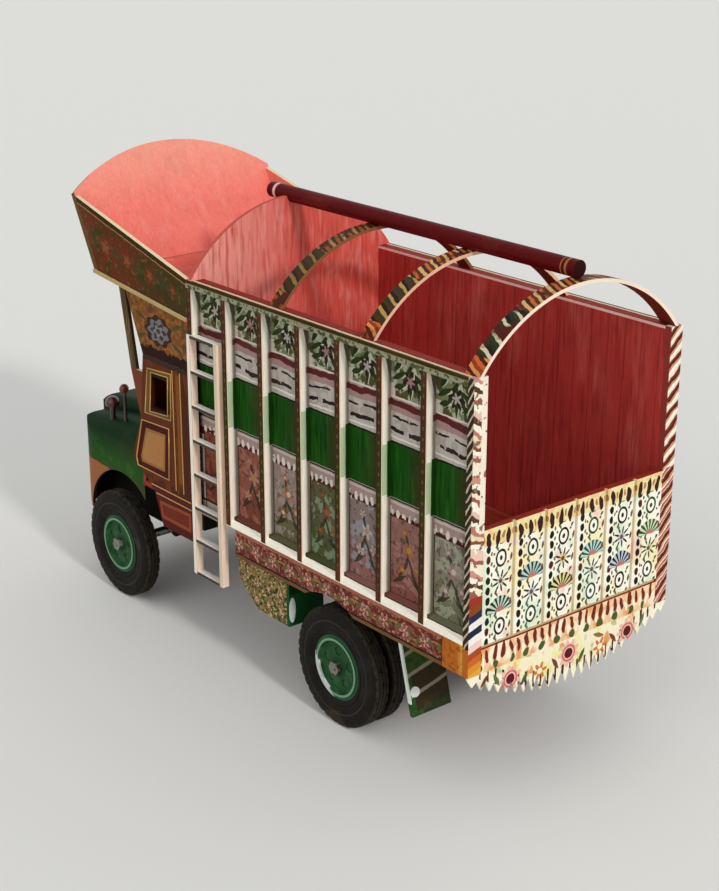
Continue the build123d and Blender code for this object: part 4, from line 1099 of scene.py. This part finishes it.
def wheels():
    """Green pressed discs with a pale lip, and black rubber."""
    for axle in ("front", "rear"):
        station = axle_x(f"rim_{axle}_left")
        f = Finish(f"rim_green_{axle}", "2A4E2C", rough=0.35)
        u, v = f.x - station, f.z - WHEEL_R
        reach = radial(u, v)
        f.lay((f.noise(7.0, 4.0) > 0.55) * 0.6, "3C6040")
        f.lay(reach < 9.0, "24462A")
        f.lay(band(reach, 17.5, 19.5), "1F4C2C")
        f.lay(reach > 22.5, "769678")
        f.lay(reach > 24.3, "2A5A38")
        # Painted highlight: a pale crescent on the rear rims' lip, low and towards the nose, that
        # turns with the wheel
        if axle == "rear":
            bare_and_glint = (reach > 21.5) * ((u * 0.8 - v * 0.6) > 16.0 + f.noise(9.0) * 4.0)
            f.lay(bare_and_glint, "BFC4BC")
        f.lay(abs(f.y) < 93.2, "173A22")
        f.wear(0.18, 0.05, UMBER)
        dress(f.done(0.2, (0.3, 0.5)), *both(f"rim_{axle}"))
        f = Finish(f"tyre_rubber_{axle}", "15100A", rough=0.65, shine=0.1)
        reach = radial(f.x - station, f.z - WHEEL_R)
        f.lay((f.noise(14.0, 4.0) > 0.56) * 0.5, "211E1A")
        f.lay(band(reach, 38.0, 39.4), "2E2B27")
        f.lay((reach > 48.6) * (f.noise(5.0, 4.0) > 0.42) * 0.5, "3A342B")
        f.wear(0.2)
        dress(f.done(0.3, (0.45, 0.7)), *both(f"tyre_{axle}"))


for make in (
    side_panel, side_ribs, maroon_rail, red_inside, tail_boards, tail_posts, hoop_bands, maroon_pole,
    crown_front_board, crown_sides, crown_floor, forehead, wing_strips, cab_sides, cab_front_wall,
    screen, nose, bright_parts, lamps, running_gear, toolbox_flowers, ladder_paint, mud_flaps,
    tail_apron, wheels,
):
    make()


# Pieces made here
def spot(x, y, z):
    """A point given in millimetres, in the frame's metres."""
    return ((x + TAIL_X) / 1000, y / 1000, z / 1000)


def add(name, data):
    """A new object in the scene that shows the data."""
    made = bpy.data.objects.new(name, data)
    bpy.context.scene.collection.objects.link(made)
    return made


def aim(made, way):
    """Turn a lamp or the camera to face along a direction."""
    made.rotation_mode = "QUATERNION"
    made.rotation_quaternion = way.to_track_quat("-Z", "Y")


def piece(name, points, faces, material, body, sharp):
    """A mesh that rides on a body, smooth but for edges sharper than an angle in degrees."""
    mesh = bpy.data.meshes.new(name)
    mesh.from_pydata([spot(*p) for p in points], [], faces)
    mesh.shade_smooth()
    mesh.set_sharp_from_angle(angle=math.radians(sharp))
    mesh.materials.append(material)
    made = add(name, mesh)
    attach(made, body)
    return made


def bead(name, runs, radius, material, closed=True):
    """Half-round beading along runs of points, half sunk in what it trims."""
    line = bpy.data.curves.new(name, "CURVE")
    line.dimensions = "3D"
    line.bevel_depth = radius / 1000
    line.bevel_resolution = 2
    line.use_fill_caps = True
    for run in runs:
        spline = line.splines.new("POLY")
        spline.points.add(len(run) - 1)
        for point, place in zip(spline.points, run):
            point.co = (*spot(*place), 1.0)
        spline.use_cyclic_u = closed
    line.materials.append(material)
    made = add(name, line)
    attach(made, "truck")


# Half a tyre's width, and the outer faces of the outer tyres and of the rear inner ones
TYRE_HALF, OUTER_Y, TWIN_Y = 8.25, 99.0, 81.0
# Notches in the tyres' shoulders, one for each four steps round the tyre
SHOULDER_R, NOTCH_DEPTH, NOTCH_Y, NOTCH_STEPS = 47.0, 1.1, 4.2, 4
TREAD_R, GROOVE_R = 50.0, 48.9


def tyre_section(half):
    """Outline of a tyre: bead, two sidewall rings, round shoulder and grooved tread."""
    side = [(-1.9, 27.15), (-1.2, 28.6), (-0.75, 30.2), (-0.35, 31.0), (-0.95, 31.6), (-0.45, 33.0)]
    side += [(-0.1, 35.5), (0.0, 37.6), (-0.35, 38.2), (-0.05, 39.0), (-0.2, 41.6), (-0.55, 44.2)]
    side += [(-0.95, 46.2), (-1.45, 47.8), (-2.1, 49.1), (-3.0, 49.8), (-4.0, TREAD_R)]
    tread = [(4.1, TREAD_R), (3.6, GROOVE_R), (2.9, GROOVE_R), (2.4, TREAD_R), (0.8, TREAD_R)]
    tread += [(0.4, GROOVE_R)]
    outer = [(half + y, r) for y, r in side] + [(y, r) for y, r in tread]
    return outer + [(-y, r) for y, r in reversed(outer)]


def tyre(name, station, outers, side, material, steps=144):
    """Solid rubber tyres with notched shoulders, turned about the axle."""
    points, faces = [], []
    section = tyre_section(TYRE_HALF)
    for outer in outers:
        first = len(points)
        for s in range(steps):
            angle = 2 * math.pi * s / steps
            for y, r in section:
                notch = s % NOTCH_STEPS == 0 and r > SHOULDER_R and abs(y) > NOTCH_Y
                reach = r - (NOTCH_DEPTH if notch else 0.0)
                across = side * (outer - TYRE_HALF + y)
                x, z = station + reach * math.sin(angle), WHEEL_R + reach * math.cos(angle)
                points.append((x, across, z))
        n = len(section)
        for s in range(steps):
            a, b = first + s * n, first + (s + 1) % steps * n
            for k in range(n):
                m = (k + 1) % n
                quad = (a + k, a + m, b + m, b + k)
                faces.append(quad if side > 0 else quad[::-1])
    made = piece(f"{name}_rubber", points, faces, material, name.replace("tyre", "wheel"), 30.0)
    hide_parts(name)


def tyres():
    for side, hand in ((1, "left"), (-1, "right")):
        for axle, outers in (("front", [OUTER_Y]), ("rear", [OUTER_Y, TWIN_Y])):
            name = f"tyre_{axle}_{hand}"
            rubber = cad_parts[name].material_slots[0].material
            tyre(name, axle_x(name), outers, side, rubber)


def cab_beads():
    """Gold beading round the door's window and panel and along the belt."""
    gold = Finish("gold_bead", "B58A48", rough=0.4, metal=0.3)
    gold.wear(0.10, 0.03, UMBER)
    gold.done(0.15, (0.2, 0.4), 0.2)
    for side, hand in ((1, "left"), (-1, "right")):
        face = side * (SIDE_Y + 0.1)
        outlines = [WINDOW_FRAME, PANEL_FRAME, grown(WINDOW_HOLE, 1.6)]
        runs = [[(u, face, v) for u, v in outline] for outline in outlines]
        bead(f"door_beading_{hand}", runs, 0.7, gold.material)
        lines = [
            [(366.5, 138.0), (366.5, 245.5)],
            [(355.0, 138.0), (355.0, 245.5)],
            [(344.0, 133.0), (405.0, 133.0)],
            [(344.0, 126.5), (398.0, 126.5)],
        ]
        runs = [[(u, face, v) for u, v in line] for line in lines]
        bead(f"side_beading_{hand}", runs, 0.6, gold.material, closed=False)


tyres()
cab_beads()


# Floor, light and camera
def studio():
    """Pale floor, soft light from the tail's right and a sky that shows white."""
    bpy.ops.mesh.primitive_plane_add(size=60.0)
    floor = bpy.context.object
    floor.name = "studio_floor"
    ground = bpy.data.materials.new("floor_pale")
    ground.use_nodes = True
    shader = ground.node_tree.nodes["Principled BSDF"]
    shader.inputs["Base Color"].default_value = (0.78, 0.76, 0.72, 1.0)
    shader.inputs["Roughness"].default_value = 0.9
    floor.data.materials.append(ground)
    world = bpy.data.worlds.new("studio_sky")
    world.use_nodes = True
    tree = world.node_tree
    sky = tree.nodes["Background"]
    sky.inputs["Color"].default_value = (0.94, 0.97, 1.0, 1.0)
    sky.inputs["Strength"].default_value = 0.68
    backdrop = tree.nodes.new("ShaderNodeBackground")
    backdrop.inputs["Color"].default_value = (0.93, 0.925, 0.91, 1.0)
    path = tree.nodes.new("ShaderNodeLightPath")
    seen = path.outputs["Is Camera Ray"]
    for ray in ("Is Glossy Ray", "Is Transmission Ray"):
        either = tree.nodes.new("ShaderNodeMath")
        either.operation = "MAXIMUM"
        tree.links.new(seen, either.inputs[0])
        tree.links.new(path.outputs[ray], either.inputs[1])
        seen = either.outputs[0]
    mix = tree.nodes.new("ShaderNodeMixShader")
    tree.links.new(seen, mix.inputs[0])
    tree.links.new(sky.outputs[0], mix.inputs[1])
    tree.links.new(backdrop.outputs[0], mix.inputs[2])
    tree.links.new(mix.outputs[0], tree.nodes["World Output"].inputs[0])
    bpy.context.scene.world = world
    for name, strength, spread, toward in (
        ("key", 1.25, 0.12, (0.9, -0.11, -0.5)),
        ("fill", 0.5, 0.9, (0.25, -0.9, -0.45)),
    ):
        lamp = add(name, bpy.data.lights.new(name, "SUN"))
        lamp.data.energy = strength
        lamp.data.angle = spread
        aim(lamp, Vector(toward))


def camera():
    """The photograph's viewpoint, with a longer lens aimed at the truck."""
    eye, target = Vector((-1.0785, 0.858, 0.680)), Vector((-0.012, -0.018, 0.178))
    made = add("camera", bpy.data.cameras.new("camera"))
    made.data.lens = 70.0
    made.location = eye
    aim(made, target - eye)
    bpy.context.scene.camera = made


studio()
camera()
bpy.context.scene.view_settings.view_transform = "Standard"
